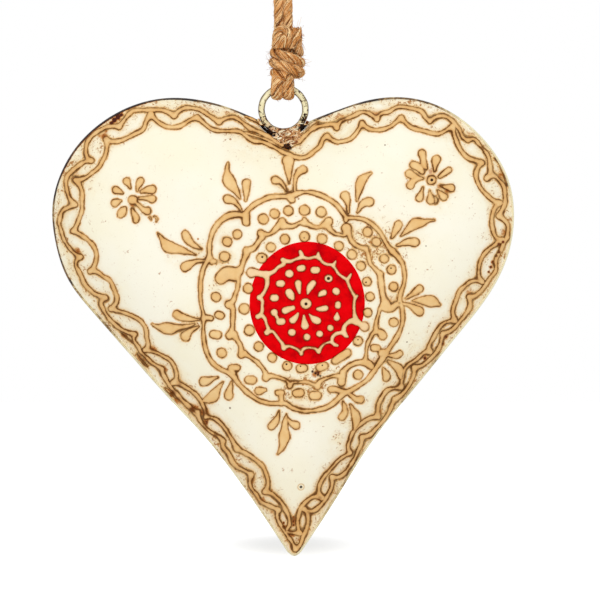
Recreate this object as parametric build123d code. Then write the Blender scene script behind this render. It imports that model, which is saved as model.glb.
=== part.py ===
from build123d import *
from math import comb, cos, hypot, pi, radians, sin, tan
import os

import numpy as np

os.makedirs("parts", exist_ok=True)

# A hollow heart of two dished sheets, welded round the rim, with raised piped line work on its front.
# It hangs by a ring in its cleft on a doubled and knotted jute cord.
# The origin is the point where the cord bears on its nail, +Z is up and the worked face looks to -Y.

# Heart, in millimetres; the fullness has no unit
heart_width = 200.0
dome_rise = 17.5
dome_reach = 45.0
dome_fullness = 2.2
rim_height = 0.5
sheet = 0.9
seam_bead = 0.8
seam_height = 0.7
rim_land = 2.2

# Ring and its weld, with the angles where the weld starts and ends
ring_outer_diameter = 22.0
ring_wire = 3.0
ring_seat = 0.9
weld_thickness = 1.2
weld_half_width = 1.9
weld_gap = 0.05
weld_from_deg = 200.0
weld_to_deg = 335.0

# Cord
cord_diameter = 3.8
cord_drop = 60.0
strand_gap = 0.1
nail_diameter = 8.0
nail_gap = 0.3
bight_gap = 0.6
bight_spread = 4.6
bight_lean_deg = 20.0
knot_radius = 4.3
knot_bottom = 2.7
knot_top = 25.9
wrap_gap = 0.1
wrap_pitch = 4.3
wrap_quarters = 10
wrap_start = 4.8
tail_length = 6.5
tail_bend = 4.0

# Raised work
line_width = 2.2
line_height = 0.7
fine_line_width = 1.8
bond_gap = 0.1
paint_layer = 0.25
dot_radius = 2.25
neighbour_gap = 0.15
least_area = 0.5
mitre_share = 0.45

# Cutters and flat faces reach this far past what they cut
overrun = 5.0

# Photograph frame, in pixels: the heart's width, and the bottom of its cleft
photo_heart_px = 462.5
cleft_px = (289.0, 133.0)
ring_axis_px = 283.4
mm_per_px = heart_width / photo_heart_px

ring_radius = (ring_outer_diameter - ring_wire) / 2
ring_centre_z = -cord_drop - ring_radius
cleft_z = ring_centre_z - ring_outer_diameter / 2 + ring_seat
cord_radius = cord_diameter / 2
dome_depth = 2 * (rim_height + dome_rise)

# Outline of the heart: from the cleft down the left side, round the tip and up the right side
HEART_PX = [
    [(289, 133), (262, 121.5), (230, 108), (200, 100), (170, 97.5), (140, 102.5), (103, 120), (77, 144),
     (60, 173), (52, 208), (54, 240), (67, 278), (94, 312), (137, 359), (179, 407), (206, 437),
     (224, 463), (255, 505)],
    [(287.5, 552), (294.5, 556)],
    [(301, 552), (331, 504), (352, 468), (379, 432), (417, 384), (457, 336), (492, 288), (509, 252),
     (514, 212), (506, 178), (487, 144), (463, 120), (425, 101), (395, 97), (365, 101), (335, 111),
     (308, 122)],
]

# Each line of the border is a chain of bellies, and each belly starts at its cusp
BORDER_OUTER_PX = [
    [(299, 141), (286, 146), (270, 137), (247, 126), (233, 117)],
    [(219, 122), (210, 116), (200, 110), (185, 108)],
    [(174, 116), (168, 112), (150, 109.5), (133, 111), (125, 118)],
    [(119, 127), (104, 128), (91, 137), (86, 148), (87, 156)],
    [(91, 161), (78, 166), (67, 177), (66, 190)],
    [(75, 205), (62, 211), (59, 223), (63, 238), (71, 250)],
    [(80, 257), (76, 267), (84, 283), (95, 294)],
    [(106, 298), (102, 306), (112, 322), (124, 331)],
    [(135, 334), (138, 346), (151, 362)],
    [(162, 369), (168, 384), (180, 398)],
    [(198, 412), (206, 426), (219, 437)],
    [(223, 441), (231, 460), (243, 470)],
    [(251, 475), (254, 492), (268, 505)],
    [(278, 510), (281, 527), (290, 540)],
    [(295.5, 549), (303, 537), (308, 523)],
    [(304, 509), (320, 506), (330, 492)],
    [(331, 477), (343, 471), (354, 453)],
    [(359, 437), (373, 430), (388, 410)],
    [(392, 399), (404, 390), (412, 376)],
    [(412, 367), (428, 360), (440, 342)],
    [(443, 334), (457, 325), (469, 308)],
    [(469, 297), (484, 287), (496, 270), (500, 252)],
    [(507, 238), (508, 226)],
    [(499, 216), (505, 202), (504, 187), (496, 177)],
    [(487, 178), (490, 165), (485, 151), (475, 140)],
    [(468, 140), (460, 131), (450, 119), (438, 116)],
    [(430, 121), (420, 111), (405, 107), (388, 111)],
    [(377, 119), (368, 113), (354, 115), (343, 121)],
    [(337, 128), (325, 125), (312, 130)],
]
BORDER_INNER_PX = [
    [(290, 156), (272, 147), (256, 142), (240, 133), (220, 131), (208, 127)],
    [(197, 117), (188, 123), (173, 127), (159, 123)],
    [(151, 112), (144, 128), (130, 138), (117, 141)],
    [(106, 139), (107, 152), (98, 168), (87, 178)],
    [(75, 180), (82, 192), (82, 210), (78, 223)],
    [(73, 231), (88, 240), (96, 254), (94, 266)],
    [(90, 271), (106, 278), (115, 291), (117, 302)],
    [(111, 309), (131, 316), (144, 326), (148, 341)],
    [(145, 350), (163, 356), (174, 366), (176, 378)],
    [(173, 383), (187, 388), (202, 402)],
    [(206, 418), (220, 423), (232, 440)],
    [(237, 449), (251, 457), (265, 470), (267, 485)],
    [(265, 492), (280, 501), (288, 515)],
    [(291, 530)],
    [(300, 530), (302, 512), (310, 500)],
    [(322, 498), (321, 482), (335, 464)],
    [(350, 453), (350, 440), (364, 422)],
    [(378, 417), (379, 403), (391, 389)],
    [(401, 387), (407, 367), (420, 355)],
    [(430, 352), (432, 340), (443, 324)],
    [(455, 321), (454, 305), (462, 288), (472, 282)],
    [(482, 282), (479, 267), (487, 251), (495, 245)],
    [(503, 240), (493, 229), (493, 214)],
    [(500, 203), (487, 195), (477, 181), (476, 171)],
    [(482, 163), (466, 157), (457, 142)],
    [(453, 126), (437, 134), (418, 129), (407, 123)],
    [(401, 118), (391, 126), (377, 130), (367, 127)],
    [(362, 123), (353, 136), (340, 142), (331, 139)],
    [(325, 136), (317, 149), (303, 157)],
]
MEDALLION_PX = [
    [(290, 198), (270, 197), (256, 203)],
    [(245, 215), (229, 217), (216, 230), (209, 247)],
    [(209, 261), (201, 276), (199, 295), (203, 309)],
    [(205, 319), (203, 336), (208, 355), (220, 369)],
    [(234, 377), (243, 387), (259, 398), (274, 402)],
    [(283, 402), (298, 410), (316, 411), (334, 402)],
    [(347, 393), (362, 384), (375, 371)],
    [(384, 355), (397, 337), (403, 318)],
    [(401, 301), (405, 283), (404, 268), (398, 257)],
    [(391, 250), (383, 234), (368, 221), (357, 218)],
    [(346, 217), (336, 205), (320, 195), (305, 191)],
]
WAVE_PX = [
    [(282, 218), (275, 229)],
    [(259, 230), (256, 244)],
    [(243, 247), (243, 262)],
    [(232, 274), (237, 285), (235, 297)],
    [(227, 305), (233, 321)],
    [(226, 337), (239, 342)],
    [(240, 356), (254, 362)],
    [(265, 382), (276, 376)],
    [(288, 389), (302, 381)],
    [(318, 386), (331, 376)],
    [(344, 385), (356, 367), (365, 356)],
    [(373, 347), (371, 338)],
    [(382, 334), (379, 319)],
    [(388, 306), (381, 289)],
    [(383, 271), (371, 263)],
    [(366, 246), (355, 243)],
    [(347, 225), (338, 233)],
    [(328, 218), (316, 226)],
    [(304.5, 219), (292, 225)],
]
OUTER_DOTS_PX = [
    (263, 219), (274.5, 213), (288.5, 210), (304.5, 209.5), (321.5, 211.5), (367, 232), (376.5, 242),
    (384, 259.5), (391.3, 269.5), (393.6, 287), (393.7, 322.6), (358.5, 374.5), (315, 396), (298, 393),
    (261, 390.5), (250.5, 380), (222, 353), (215.5, 334), (218, 315), (216, 297), (225, 256),
    (227, 241.5), (237.5, 234),
]
INNER_DOTS_PX = [
    (285, 239), (304, 237), (322, 239), (339, 246.5), (352, 255), (361, 266), (367, 282), (370, 297),
    (368, 313), (366, 326), (358.5, 341), (346, 353), (337, 359), (322.5, 368), (302, 369), (287, 365),
    (272, 358), (259, 347), (250, 330), (244, 309), (248, 288), (250.5, 272), (262, 258), (271, 247),
]
disc_centre_px = (307.0, 303.0)
disc_half_width_px = 57.8
disc_half_height_px = 61.4
boss_centre_px = (306.3, 303.7)
boss_radius_px = 5.5
disc_wave_belly_px = 43.5
disc_wave_tip_px = 50.0
DISC_WAVE_DEG = [97, 118, 148, 173, 195, 218, 243.5, 264, 284.5, 305.5, 321, 343, 8, 33, 55.5, 77]
DISC_DOTS_PX = [
    (301.4, 268.3), (315.4, 269.7), (328.5, 278.5), (336, 291.5), (338, 305), (337, 317), (330, 328),
    (319.4, 334), (307, 338), (292, 332.6), (280, 322), (274, 313), (274.4, 298), (280, 283.6),
    (289.5, 273.8),
]
disc_dot_radius_px = 4.3
PETAL_DEG = [115, 73, 32, -18.6, -62, -94, -130, -160, 154]
petal_from_px = 11.5
petal_to_px = 22.0
petal_tip_px = 1.6
petal_end_px = 4.2

# Petals of a sprig: narrow end, round end, and half widths there
SPRIG_PX = {
    "top": [((288, 186), (288, 163), 2.0, 5.6), ((281, 187), (275, 180.5), 1.6, 2.6),
            ((296, 187), (301, 173), 1.6, 3.6)],
    "top_left": [((240, 197), (231, 175), 2.0, 5.4), ((246, 201), (247, 186), 1.6, 3.6),
                 ((238, 207), (229, 199), 1.6, 3.6)],
    "left_high": [((196, 254), (171, 247), 1.8, 5.0), ((200, 248), (186, 234), 1.6, 3.6),
                  ((197, 262), (186, 266), 1.6, 3.8)],
    "left_low": [((196, 323.5), (170, 328), 1.8, 5.0), ((197, 317), (179, 313.5), 1.6, 3.2),
                 ((197, 329), (187, 335), 1.6, 3.6)],
    "bottom_left": [((222, 385), (212, 396), 1.8, 4.8), ((215, 378), (206, 381), 1.4, 3.6),
                    ((230, 386), (228.5, 395), 1.6, 3.6)],
    "bottom": [((286, 418), (284, 440), 2.0, 4.2), ((278, 412), (272, 422), 1.6, 3.6),
               ((291, 420), (296, 424), 1.6, 3.2)],
    "bottom_right": [((352, 409), (355, 420), 1.8, 4.0), ((345, 404), (342, 415), 1.6, 3.4),
                     ((357, 396), (361, 399), 1.6, 3.0)],
    "right_low": [((391, 363), (400, 372), 1.8, 4.4), ((382, 371), (385.5, 376), 1.6, 3.6),
                  ((392, 356.5), (399, 354), 1.6, 3.0)],
    "right_mid": [((413, 300.5), (430, 301), 1.8, 5.0), ((409, 296.5), (418, 289.5), 1.4, 3.6),
                  ((411, 306), (418, 311), 1.6, 3.8)],
    "right_high": [((402, 234), (416, 223), 1.8, 5.0), ((395, 231), (398, 223.5), 1.6, 3.4),
                   ((399, 243), (413, 242), 1.6, 4.0)],
    "top_right": [((357, 199), (361, 181), 1.8, 5.4), ((349, 208), (344.5, 195), 1.6, 3.8),
                  ((360, 210), (369, 201.5), 1.6, 3.8)],
}
LEFT_FLOWER_PX = [
    ((129.5, 190), (126.7, 183), 1.6, 3.0), ((136.5, 191), (139, 184), 1.6, 3.0),
    ((142, 191), (150, 189), 1.8, 3.0), ((142, 198), (150, 198), 1.8, 3.0),
    ((138, 206), (145, 210), 1.6, 3.0), ((133, 209), (135.5, 217), 1.6, 3.0),
    ((127, 208), (121.5, 213), 1.6, 2.8), ((123.5, 200.5), (115.5, 203), 1.6, 2.8),
    ((124, 194), (117.5, 190.5), 1.6, 2.6),
]
RIGHT_FLOWER_PX = [
    ((434.5, 171), (435.5, 162), 1.6, 3.2), ((440, 176), (446.5, 170.5), 1.6, 3.0),
    ((441.5, 184.5), (450, 186), 1.8, 3.2), ((437.5, 190), (443, 195.5), 1.6, 3.0),
    ((430, 191), (431, 200), 1.6, 3.2), ((424, 188.5), (420, 197), 1.6, 3.0),
    ((421, 182), (411, 186), 1.6, 2.8), ((421, 177), (410, 173.5), 1.6, 2.6),
    ((427, 169), (423, 157), 1.6, 2.8), ((422, 170), (414.5, 163), 1.6, 2.6),
]
left_flower_px = (132.5, 200.0)
right_flower_px = (432.0, 180.0)
flower_centre_px = 4.8


def at(px):
    """Place of a photograph pixel in the part's X and Z, measured from the cleft under the ring."""
    x = (px[0] - ring_axis_px) * mm_per_px
    z = cleft_z - (px[1] - cleft_px[1]) * mm_per_px
    return np.array([x, z])


def flat_point(place):
    return Vector(place[0], 0, place[1])


def unit(direction):
    return direction / hypot(*direction)


def outward(direction):
    return np.array([direction[1], -direction[0]])


def lobes_of(chain_px):
    """Closed chain of lobes in millimetres, each from its own first point to the first point of the next."""
    lobes = []
    for number, row in enumerate(chain_px):
        following = chain_px[(number + 1) % len(chain_px)][0]
        lobes.append([at(px) for px in row + [following]])
    return lobes


def shifted_corner(before, after, out):
    first = outward(unit(before[-1] - before[-2]))
    second = outward(unit(after[1] - after[0]))
    middle = unit(first + second)
    return after[0] + middle * out / max(middle @ first, mitre_share)


def shifted(lobes, out):
    """The same chain moved out by a distance, with its corners mitred."""
    moved = []
    for number, lobe in enumerate(lobes):
        before = lobes[number - 1]
        after = lobes[(number + 1) % len(lobes)]
        row = [shifted_corner(before, lobe, out)]
        for last, place, following in zip(lobe, lobe[1:], lobe[2:]):
            row.append(place + out * outward(unit(following - last)))
        row.append(shifted_corner(lobe, after, out))
        moved.append(row)
    return moved


def lobe_line(lobe):
    points = [flat_point(place) for place in lobe]
    return Line(*points) if len(points) == 2 else Spline(*points)


def joined(lines):
    return Wire([edge for line in lines for edge in line.edges()])


def closed_wire(lobes):
    return joined([lobe_line(lobe) for lobe in lobes])


def area(lobes):
    return Face(closed_wire(lobes))


def ribbon(chain_px, width):
    """Flat band of a given width along a closed chain of pixels."""
    lobes = lobes_of(chain_px)
    return Face(closed_wire(shifted(lobes, width / 2)), [closed_wire(shifted(lobes, -width / 2))])


def disc(px, radius):
    return Pos(*flat_point(at(px))) * Face(Wire([Edge.make_circle(radius, Plane.XZ)]))


def petal(start_px, end_px, start_half_px, end_half_px):
    """Teardrop between two round ends, as one flat face."""
    start = at(start_px)
    end = at(end_px)
    along = unit(end - start)
    start_reach = along * start_half_px * mm_per_px
    end_reach = along * end_half_px * mm_per_px
    start_left = flat_point(start + outward(start_reach))
    start_right = flat_point(start - outward(start_reach))
    end_left = flat_point(end + outward(end_reach))
    end_right = flat_point(end - outward(end_reach))
    return Face(joined([
        ThreePointArc(start_left, flat_point(start - start_reach), start_right),
        Line(start_right, end_right),
        ThreePointArc(end_right, flat_point(end + end_reach), end_left),
        Line(end_left, start_left),
    ]))


# The dome of each sheet is one smooth patch, whose poles follow from the outline
dome_degree = 12
dome_samples = 64
dome_stiffness = 0.003
outside_softness = 6.0
outside_weight = 0.06
rim_weight = 4.0
cleft_weight = 12.0
SHELL_LOBES = shifted(lobes_of(HEART_PX), -seam_bead)


def points_round(lobes, spacing):
    points = []
    for lobe in lobes:
        line = lobe_line(lobe)
        count = int(line.length / spacing) + 1
        points += [line @ (step / count) for step in range(count)]
    return np.array([(point.X, point.Z) for point in points])


RIM = points_round(SHELL_LOBES, sheet)
RIM_STEP = np.hypot(*(np.roll(RIM, -1, 0) - RIM).T)


def inside_rim(places):
    start = RIM
    end = np.roll(RIM, -1, 0)
    x = places[:, 0][:, None]
    z = places[:, 1][:, None]
    crosses = (start[None, :, 1] > z) != (end[None, :, 1] > z)
    rise = np.where(end[:, 1] == start[:, 1], 1, end[:, 1] - start[:, 1])
    crossing = (end[:, 0] - start[:, 0])[None] * (z - start[None, :, 1]) / rise[None] + start[None, :, 0]
    return (crosses & (x < crossing)).sum(1) % 2 == 1


def depth_from_rim(places):
    """A smooth distance from the rim, which is negative outside the heart."""
    away = np.hypot(*(RIM[None] - places[:, None]).transpose(2, 0, 1))
    away = np.maximum(away, RIM_STEP.max() / 2)
    depth = ((RIM_STEP[None] / away ** 3).sum(1) / 2) ** -0.5
    return np.where(inside_rim(places), depth, -depth)


def puffed_height(depth):
    inner_share = np.clip(depth / dome_reach, 0, 1)
    outer_share = np.minimum(depth / dome_reach, 0)
    inner = 1 - (1 - inner_share) ** dome_fullness
    outer = dome_fullness * outer_share / (1 - outside_softness * outer_share)
    return rim_height + dome_rise * (inner + outer)


def bernstein(share, degree):
    terms = [comb(degree, k) * share ** k * (1 - share) ** (degree - k) for k in range(degree + 1)]
    return np.array(terms).T


def patch_rows(places, low, high, degree):
    share = (places - low) / (high - low)
    across = bernstein(share[:, 0], degree)
    up = bernstein(share[:, 1], degree)
    return (across[:, :, None] * up[:, None, :]).reshape(len(places), -1)


def mesh_of(low, high, count):
    x, z = np.meshgrid(np.linspace(low[0], high[0], count), np.linspace(low[1], high[1], count))
    return np.column_stack([x.ravel(), z.ravel()])


dome_low = RIM.min(0) - overrun
dome_high = RIM.max(0) + overrun


def fit_dome():
    """Least squares poles of the dome: exact at the rim, close inside and loose outside."""
    places = mesh_of(dome_low, dome_high, dome_samples)
    depth = depth_from_rim(places)
    inside_weights = np.where(depth > 0, 1, outside_weight)
    from_cleft = np.hypot(*(RIM - at(cleft_px)).T)
    rim_weights = np.where(from_cleft < ring_outer_diameter / 2, cleft_weight, rim_weight)
    same = np.eye(dome_degree + 1)
    bend = np.diff(same, n=2, axis=0)
    rows = [
        patch_rows(places, dome_low, dome_high, dome_degree) * inside_weights[:, None],
        patch_rows(RIM, dome_low, dome_high, dome_degree) * rim_weights[:, None],
        np.kron(bend, same) * dome_stiffness,
        np.kron(same, bend) * dome_stiffness,
    ]
    heights = [puffed_height(depth) * inside_weights, rim_height * rim_weights, np.zeros(2 * bend.size)]
    poles, *_ = np.linalg.lstsq(np.vstack(rows), np.concatenate(heights), rcond=None)
    return poles


DOME_POLES = fit_dome()


def dome_height(places):
    return patch_rows(np.atleast_2d(places), dome_low, dome_high, dome_degree) @ DOME_POLES


def patch_face(poles, low, high, degree):
    grid = []
    for i in range(degree + 1):
        x = low[0] + (high[0] - low[0]) * i / degree
        z = [low[1] + (high[1] - low[1]) * j / degree for j in range(degree + 1)]
        grid.append([Vector(x, -poles[i * (degree + 1) + j], z[j]) for j in range(degree + 1)])
    return Face.make_bezier_surface(grid)


DOME = patch_face(DOME_POLES, dome_low, dome_high, dome_degree)

# A patch over a few pieces follows the dome with a lower degree, by its size as a share of the heart
patch_degree_shares = {0.2: 4, 0.3: 6, 0.55: 8}
samples_per_degree = 3


def dome_patch(low, high):
    for share, degree in patch_degree_shares.items():
        if max(high - low) < share * heart_width:
            places = mesh_of(low, high, samples_per_degree * degree)
            rows = patch_rows(places, low, high, degree)
            poles, *_ = np.linalg.lstsq(rows, dome_height(places), rcond=None)
            return patch_face(poles, low, high, degree)
    return DOME


def layer(faces, base, height):
    """Solids of some flat faces, laid on the dome at a base gap with a given height."""
    box = Compound(children=list(faces)).bounding_box()
    low = np.array([box.min.X, box.min.Z]) - neighbour_gap
    high = np.array([box.max.X, box.max.Z]) + neighbour_gap
    surface = dome_patch(low, high)
    slab = extrude(surface.moved(Pos(0, -base, 0)), amount=height, dir=(0, -1, 0))
    solids = []
    for face in faces:
        solids += (extrude(face, amount=dome_depth + overrun, dir=(0, -1, 0)) & slab).solids()
    return solids


def clear_of(faces, *blockers):
    """What is left of some flat faces when wider bands are taken away."""
    left = []
    for face in faces:
        rest = face
        for blocker in blockers:
            rest = rest - blocker
        left += [piece for piece in rest.faces() if piece.area > least_area]
    return left


def save(node, solids):
    solids = list(solids)
    print(f"{node}: {len(solids)} solids, {sum(solid.volume for solid in solids):.1f} mm3")
    export_step(solids[0] if len(solids) == 1 else Compound(children=solids), f"parts/{node}.step")


def save_layer(node, faces, base, height):
    solids = layer(faces, base, height)
    wanted = sum(face.area for face in faces) * height
    found = sum(solid.volume for solid in solids)
    print(f"{node}: {found:.2f} of {wanted:.2f} mm3")
    save(node, solids)


# Shells and seam

def pillow(outline, surface, low_y):
    block = extrude(outline.moved(Pos(0, low_y, 0)), amount=dome_depth + low_y, dir=(0, -1, 0))
    above = extrude(surface, amount=2 * dome_depth, dir=(0, -1, 0))
    return block - above


def make_front_shell():
    body = pillow(area(SHELL_LOBES), DOME, 0)
    hollow = pillow(area(shifted(SHELL_LOBES, -rim_land)), DOME.moved(Pos(0, sheet, 0)), overrun)
    return body - hollow - ring_notch()


def ring_notch():
    radius = ring_outer_diameter / 2 + weld_thickness + 2 * weld_gap
    return Pos(0, 0, ring_centre_z) * Rot(90, 0, 0) * Cylinder(radius, 2 * dome_depth)


def make_seam_weld():
    band = Face(closed_wire(lobes_of(HEART_PX)), [closed_wire(SHELL_LOBES)])
    return extrude(band.moved(Pos(0, seam_height, 0)), amount=2 * seam_height, dir=(0, -1, 0)) - ring_notch()


def make_ring():
    return Pos(0, 0, ring_centre_z) * Rot(90, 0, 0) * Torus(ring_radius, ring_wire / 2)


def make_ring_weld():
    inner = ring_outer_diameter / 2 + weld_gap
    start = radians(weld_from_deg)
    section = Plane(
        origin=(inner * cos(start), 0, ring_centre_z + inner * sin(start)),
        x_dir=(cos(start), 0, sin(start)),
        z_dir=(-sin(start), 0, cos(start)),
    ) * Rectangle(weld_thickness, 2 * weld_half_width, align=(Align.MIN, Align.CENTER))
    turn = Axis((0, 0, ring_centre_z), (0, -1, 0))
    return revolve(section, axis=turn, revolution_arc=weld_to_deg - weld_from_deg)


# Cord

def tube(path, start, direction):
    return sweep(Plane(origin=start, z_dir=direction) * Circle(cord_radius), path=path)


def biarc_path(places, tangents):
    """Tangent arcs through some places, two for each stretch."""
    edges = []
    for start, end, leaving, arriving in zip(places, places[1:], tangents, tangents[1:]):
        chord = end - start
        both = leaving + arriving
        a = both.dot(both) - 4
        b = -2 * chord.dot(both)
        c = chord.dot(chord)
        reach = (-b - (b * b - 4 * a * c) ** 0.5) / (2 * a)
        first = start + leaving * reach
        second = end - arriving * reach
        middle = (first + second) * 0.5
        edges.append(TangentArc(start, middle, tangent=leaving))
        edges.append(TangentArc(middle, end, tangent=(second - first)))
    return edges


def corner_radii(points):
    """Radius of each corner of a route: a share of the shorter run by the tangent of half the turn."""
    radii = []
    for last, here, following in zip(points, points[1:], points[2:]):
        turn = radians((here - last).get_angle(following - here))
        shorter = min((here - last).length, (following - here).length)
        radii.append(corner_share * shorter / tan(turn / 2))
    return radii


corner_share = 0.45
loop_half = nail_diameter / 2 + nail_gap + cord_radius
foot_z = -cord_drop + knot_top
strand_half = cord_radius + strand_gap / 2

# Corners of the two strands and the bight over the nail, in X and Z
LOOP_ROUTE = [
    (-strand_half, foot_z), (-strand_half, -26.3), (-2.35, -18.3), (-5.75, -9.2), (-loop_half, cord_radius),
    (loop_half, cord_radius), (5.6, -9.5), (1.65, -18.6), (strand_half, -26.5), (strand_half, foot_z),
]


def make_hang_loop():
    points = [Vector(x, 0, z) for x, z in LOOP_ROUTE]
    radii = corner_radii(points)
    print("hang_loop corner radii, mm:", [round(float(radius), 1) for radius in radii])
    path = FilletPolyline(*points, radius=radii)
    solid = tube(path, path @ 0, path % 0)
    wanted = pi * cord_radius ** 2 * path.length
    print(f"hang_loop length {path.length:.1f} mm, volume {solid.volume:.1f} of {wanted:.1f} mm3")
    return solid


wire_top = Vector(0, 0, -cord_drop)


def make_knot_core():
    return Pos(0, 0, -cord_drop + knot_bottom) * Cylinder(
        knot_radius, knot_top - knot_bottom, align=(Align.CENTER, Align.CENTER, Align.MIN))


def make_cord_knot():
    """Wraps round the core, one rising tube, whose upper end turns up into the cut tail."""
    radius = knot_radius + wrap_gap + cord_radius
    places = []
    tangents = []
    rise = wrap_pitch / 4
    climb = wrap_pitch / (2 * pi * radius)
    for k in range(wrap_quarters + 1):
        angle = pi / 2 * (k - wrap_quarters)
        places.append(wire_top + Vector(radius * cos(angle), -radius * sin(angle), wrap_start + rise * k))
        tangents.append(Vector(-sin(angle), -cos(angle), climb).normalized())
    edges = biarc_path(places, tangents)
    bend_end = places[-1] + Vector(0, -tail_bend, tail_bend)
    edges.append(TangentArc(places[-1], bend_end, tangent=tangents[-1]))
    edges.append(Line(bend_end, bend_end + Vector(0, 0, tail_length)))
    path = joined(edges)
    gap = wrap_pitch * cos(climb) - cord_diameter
    print(f"cord_knot length {path.length:.1f} mm, wraps {gap:.2f} mm apart, {wrap_gap:.2f} mm off the core")
    return tube(path, places[0], tangents[0])


def make_ring_bights():
    """Two bights that come down from the knot, pass under the ring's wire and go up again."""
    bend = ring_wire / 2 + bight_gap + cord_radius
    lean = radians(bight_lean_deg)
    upwards = (Align.CENTER, Align.CENTER, Align.MIN)
    above = Pos(0, 0, knot_bottom) * Box(cord_drop, cord_drop, cord_drop, align=upwards)
    solids = []
    for side in (-1, 1):
        x = side * bight_spread / 2
        start = Vector(x, -bend * cos(lean), bend * sin(lean))
        inwards = (knot_bottom - start.Z) * tan(lean)
        head = Vector(x, start.Y + inwards, knot_bottom)
        end = Vector(x, -start.Y, start.Z)
        path = joined([
            Line(head, start),
            ThreePointArc(start, Vector(x, 0, -bend), end),
            Line(end, Vector(x, -head.Y, knot_bottom)),
        ])
        bight = tube(path, head, start - head) - above
        solids += [Pos(*wire_top) * piece for piece in bight.solids()]
    return solids


# Raised work, as flat faces

OUTER_KEEP = ribbon(BORDER_OUTER_PX, line_width + 2 * neighbour_gap)
INNER_KEEP = ribbon(BORDER_INNER_PX, line_width + 2 * neighbour_gap)
MEDALLION_KEEP = ribbon(MEDALLION_PX, line_width + 2 * neighbour_gap)
WAVE_KEEP = ribbon(WAVE_PX, line_width + 2 * neighbour_gap)


def around_boss(angle, radius_px):
    turn = radians(angle)
    return (boss_centre_px[0] + radius_px * cos(turn), boss_centre_px[1] - radius_px * sin(turn))


def disc_wave_chain():
    """Bellies of the wave on the red disc, each from a cusp that points outwards."""
    chain = []
    for number, angle in enumerate(DISC_WAVE_DEG):
        following = DISC_WAVE_DEG[(number + 1) % len(DISC_WAVE_DEG)]
        turn = (following - angle) % 360
        tip = around_boss(angle, disc_wave_tip_px)
        chain.append([tip, around_boss(angle + turn / 2, disc_wave_belly_px)])
    return chain


DISC_WAVE_PX = disc_wave_chain()
DISC_WAVE_KEEP = ribbon(DISC_WAVE_PX, fine_line_width + 2 * neighbour_gap)


def disc_petals():
    faces = []
    for angle in PETAL_DEG:
        start = around_boss(angle, petal_from_px)
        end = around_boss(angle, petal_to_px)
        faces.append(petal(start, end, petal_tip_px, petal_end_px))
    return faces


def red_disc():
    upright = Plane.XZ.rotated((0, 90, 0))
    ellipse = Edge.make_ellipse(disc_half_height_px * mm_per_px, disc_half_width_px * mm_per_px, upright)
    return Pos(*flat_point(at(disc_centre_px))) * Face(Wire([ellipse]))


def flower(petals_px, centre_px):
    return [petal(*row) for row in petals_px] + [disc(centre_px, flower_centre_px * mm_per_px)]


def save_lines():
    inner_line = clear_of([ribbon(BORDER_INNER_PX, line_width)], OUTER_KEEP)
    wave = clear_of([ribbon(WAVE_PX, line_width)], MEDALLION_KEEP)
    save_layer("border_outer_line", [ribbon(BORDER_OUTER_PX, line_width)], bond_gap, line_height)
    save_layer("border_inner_line", inner_line, bond_gap, line_height)
    save_layer("medallion_outline", [ribbon(MEDALLION_PX, line_width)], bond_gap, line_height)
    save_layer("medallion_wave", wave, bond_gap, line_height)


def save_medallion():
    outer_dots = [disc(px, dot_radius) for px in OUTER_DOTS_PX]
    inner_dots = [disc(px, dot_radius) for px in INNER_DOTS_PX]
    save_layer("outer_dots", clear_of(outer_dots, MEDALLION_KEEP, WAVE_KEEP), bond_gap, line_height)
    save_layer("inner_dots", clear_of(inner_dots, WAVE_KEEP), bond_gap, line_height)
    wells = [disc(px, dot_radius + neighbour_gap) for px in INNER_DOTS_PX]
    save_layer("red_disc", clear_of([red_disc()], *wells), bond_gap, paint_layer)
    on_paint = bond_gap + paint_layer + bond_gap
    save_layer("disc_wave", [ribbon(DISC_WAVE_PX, fine_line_width)], on_paint, line_height)
    disc_dots = [disc(px, disc_dot_radius_px * mm_per_px) for px in DISC_DOTS_PX]
    save_layer("disc_dots", clear_of(disc_dots, DISC_WAVE_KEEP), on_paint, line_height)
    save_layer("disc_petals", disc_petals(), on_paint, line_height)
    save_layer("disc_boss", [disc(boss_centre_px, boss_radius_px * mm_per_px)], on_paint, line_height)


def save_sprigs_and_flowers():
    for name, petals_px in SPRIG_PX.items():
        faces = clear_of([petal(*row) for row in petals_px], MEDALLION_KEEP, INNER_KEEP)
        save_layer(f"sprig_{name}", faces, bond_gap, line_height)
    save_layer("left_flower", flower(LEFT_FLOWER_PX, left_flower_px), bond_gap, line_height)
    save_layer("right_flower", flower(RIGHT_FLOWER_PX, right_flower_px), bond_gap, line_height)


front_shell = make_front_shell()
save("front_shell", front_shell.solids())
save("back_shell", front_shell.mirror(Plane.XZ).solids())
save("seam_weld", make_seam_weld().solids())
save("hanging_ring", make_ring().solids())
save("ring_weld", make_ring_weld().solids())
save("hang_loop", make_hang_loop().solids())
save("knot_core", make_knot_core().solids())
save("cord_knot", make_cord_knot().solids())
save("ring_bights", make_ring_bights())
save_lines()
save_medallion()
save_sprigs_and_flowers()
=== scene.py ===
import math

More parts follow.
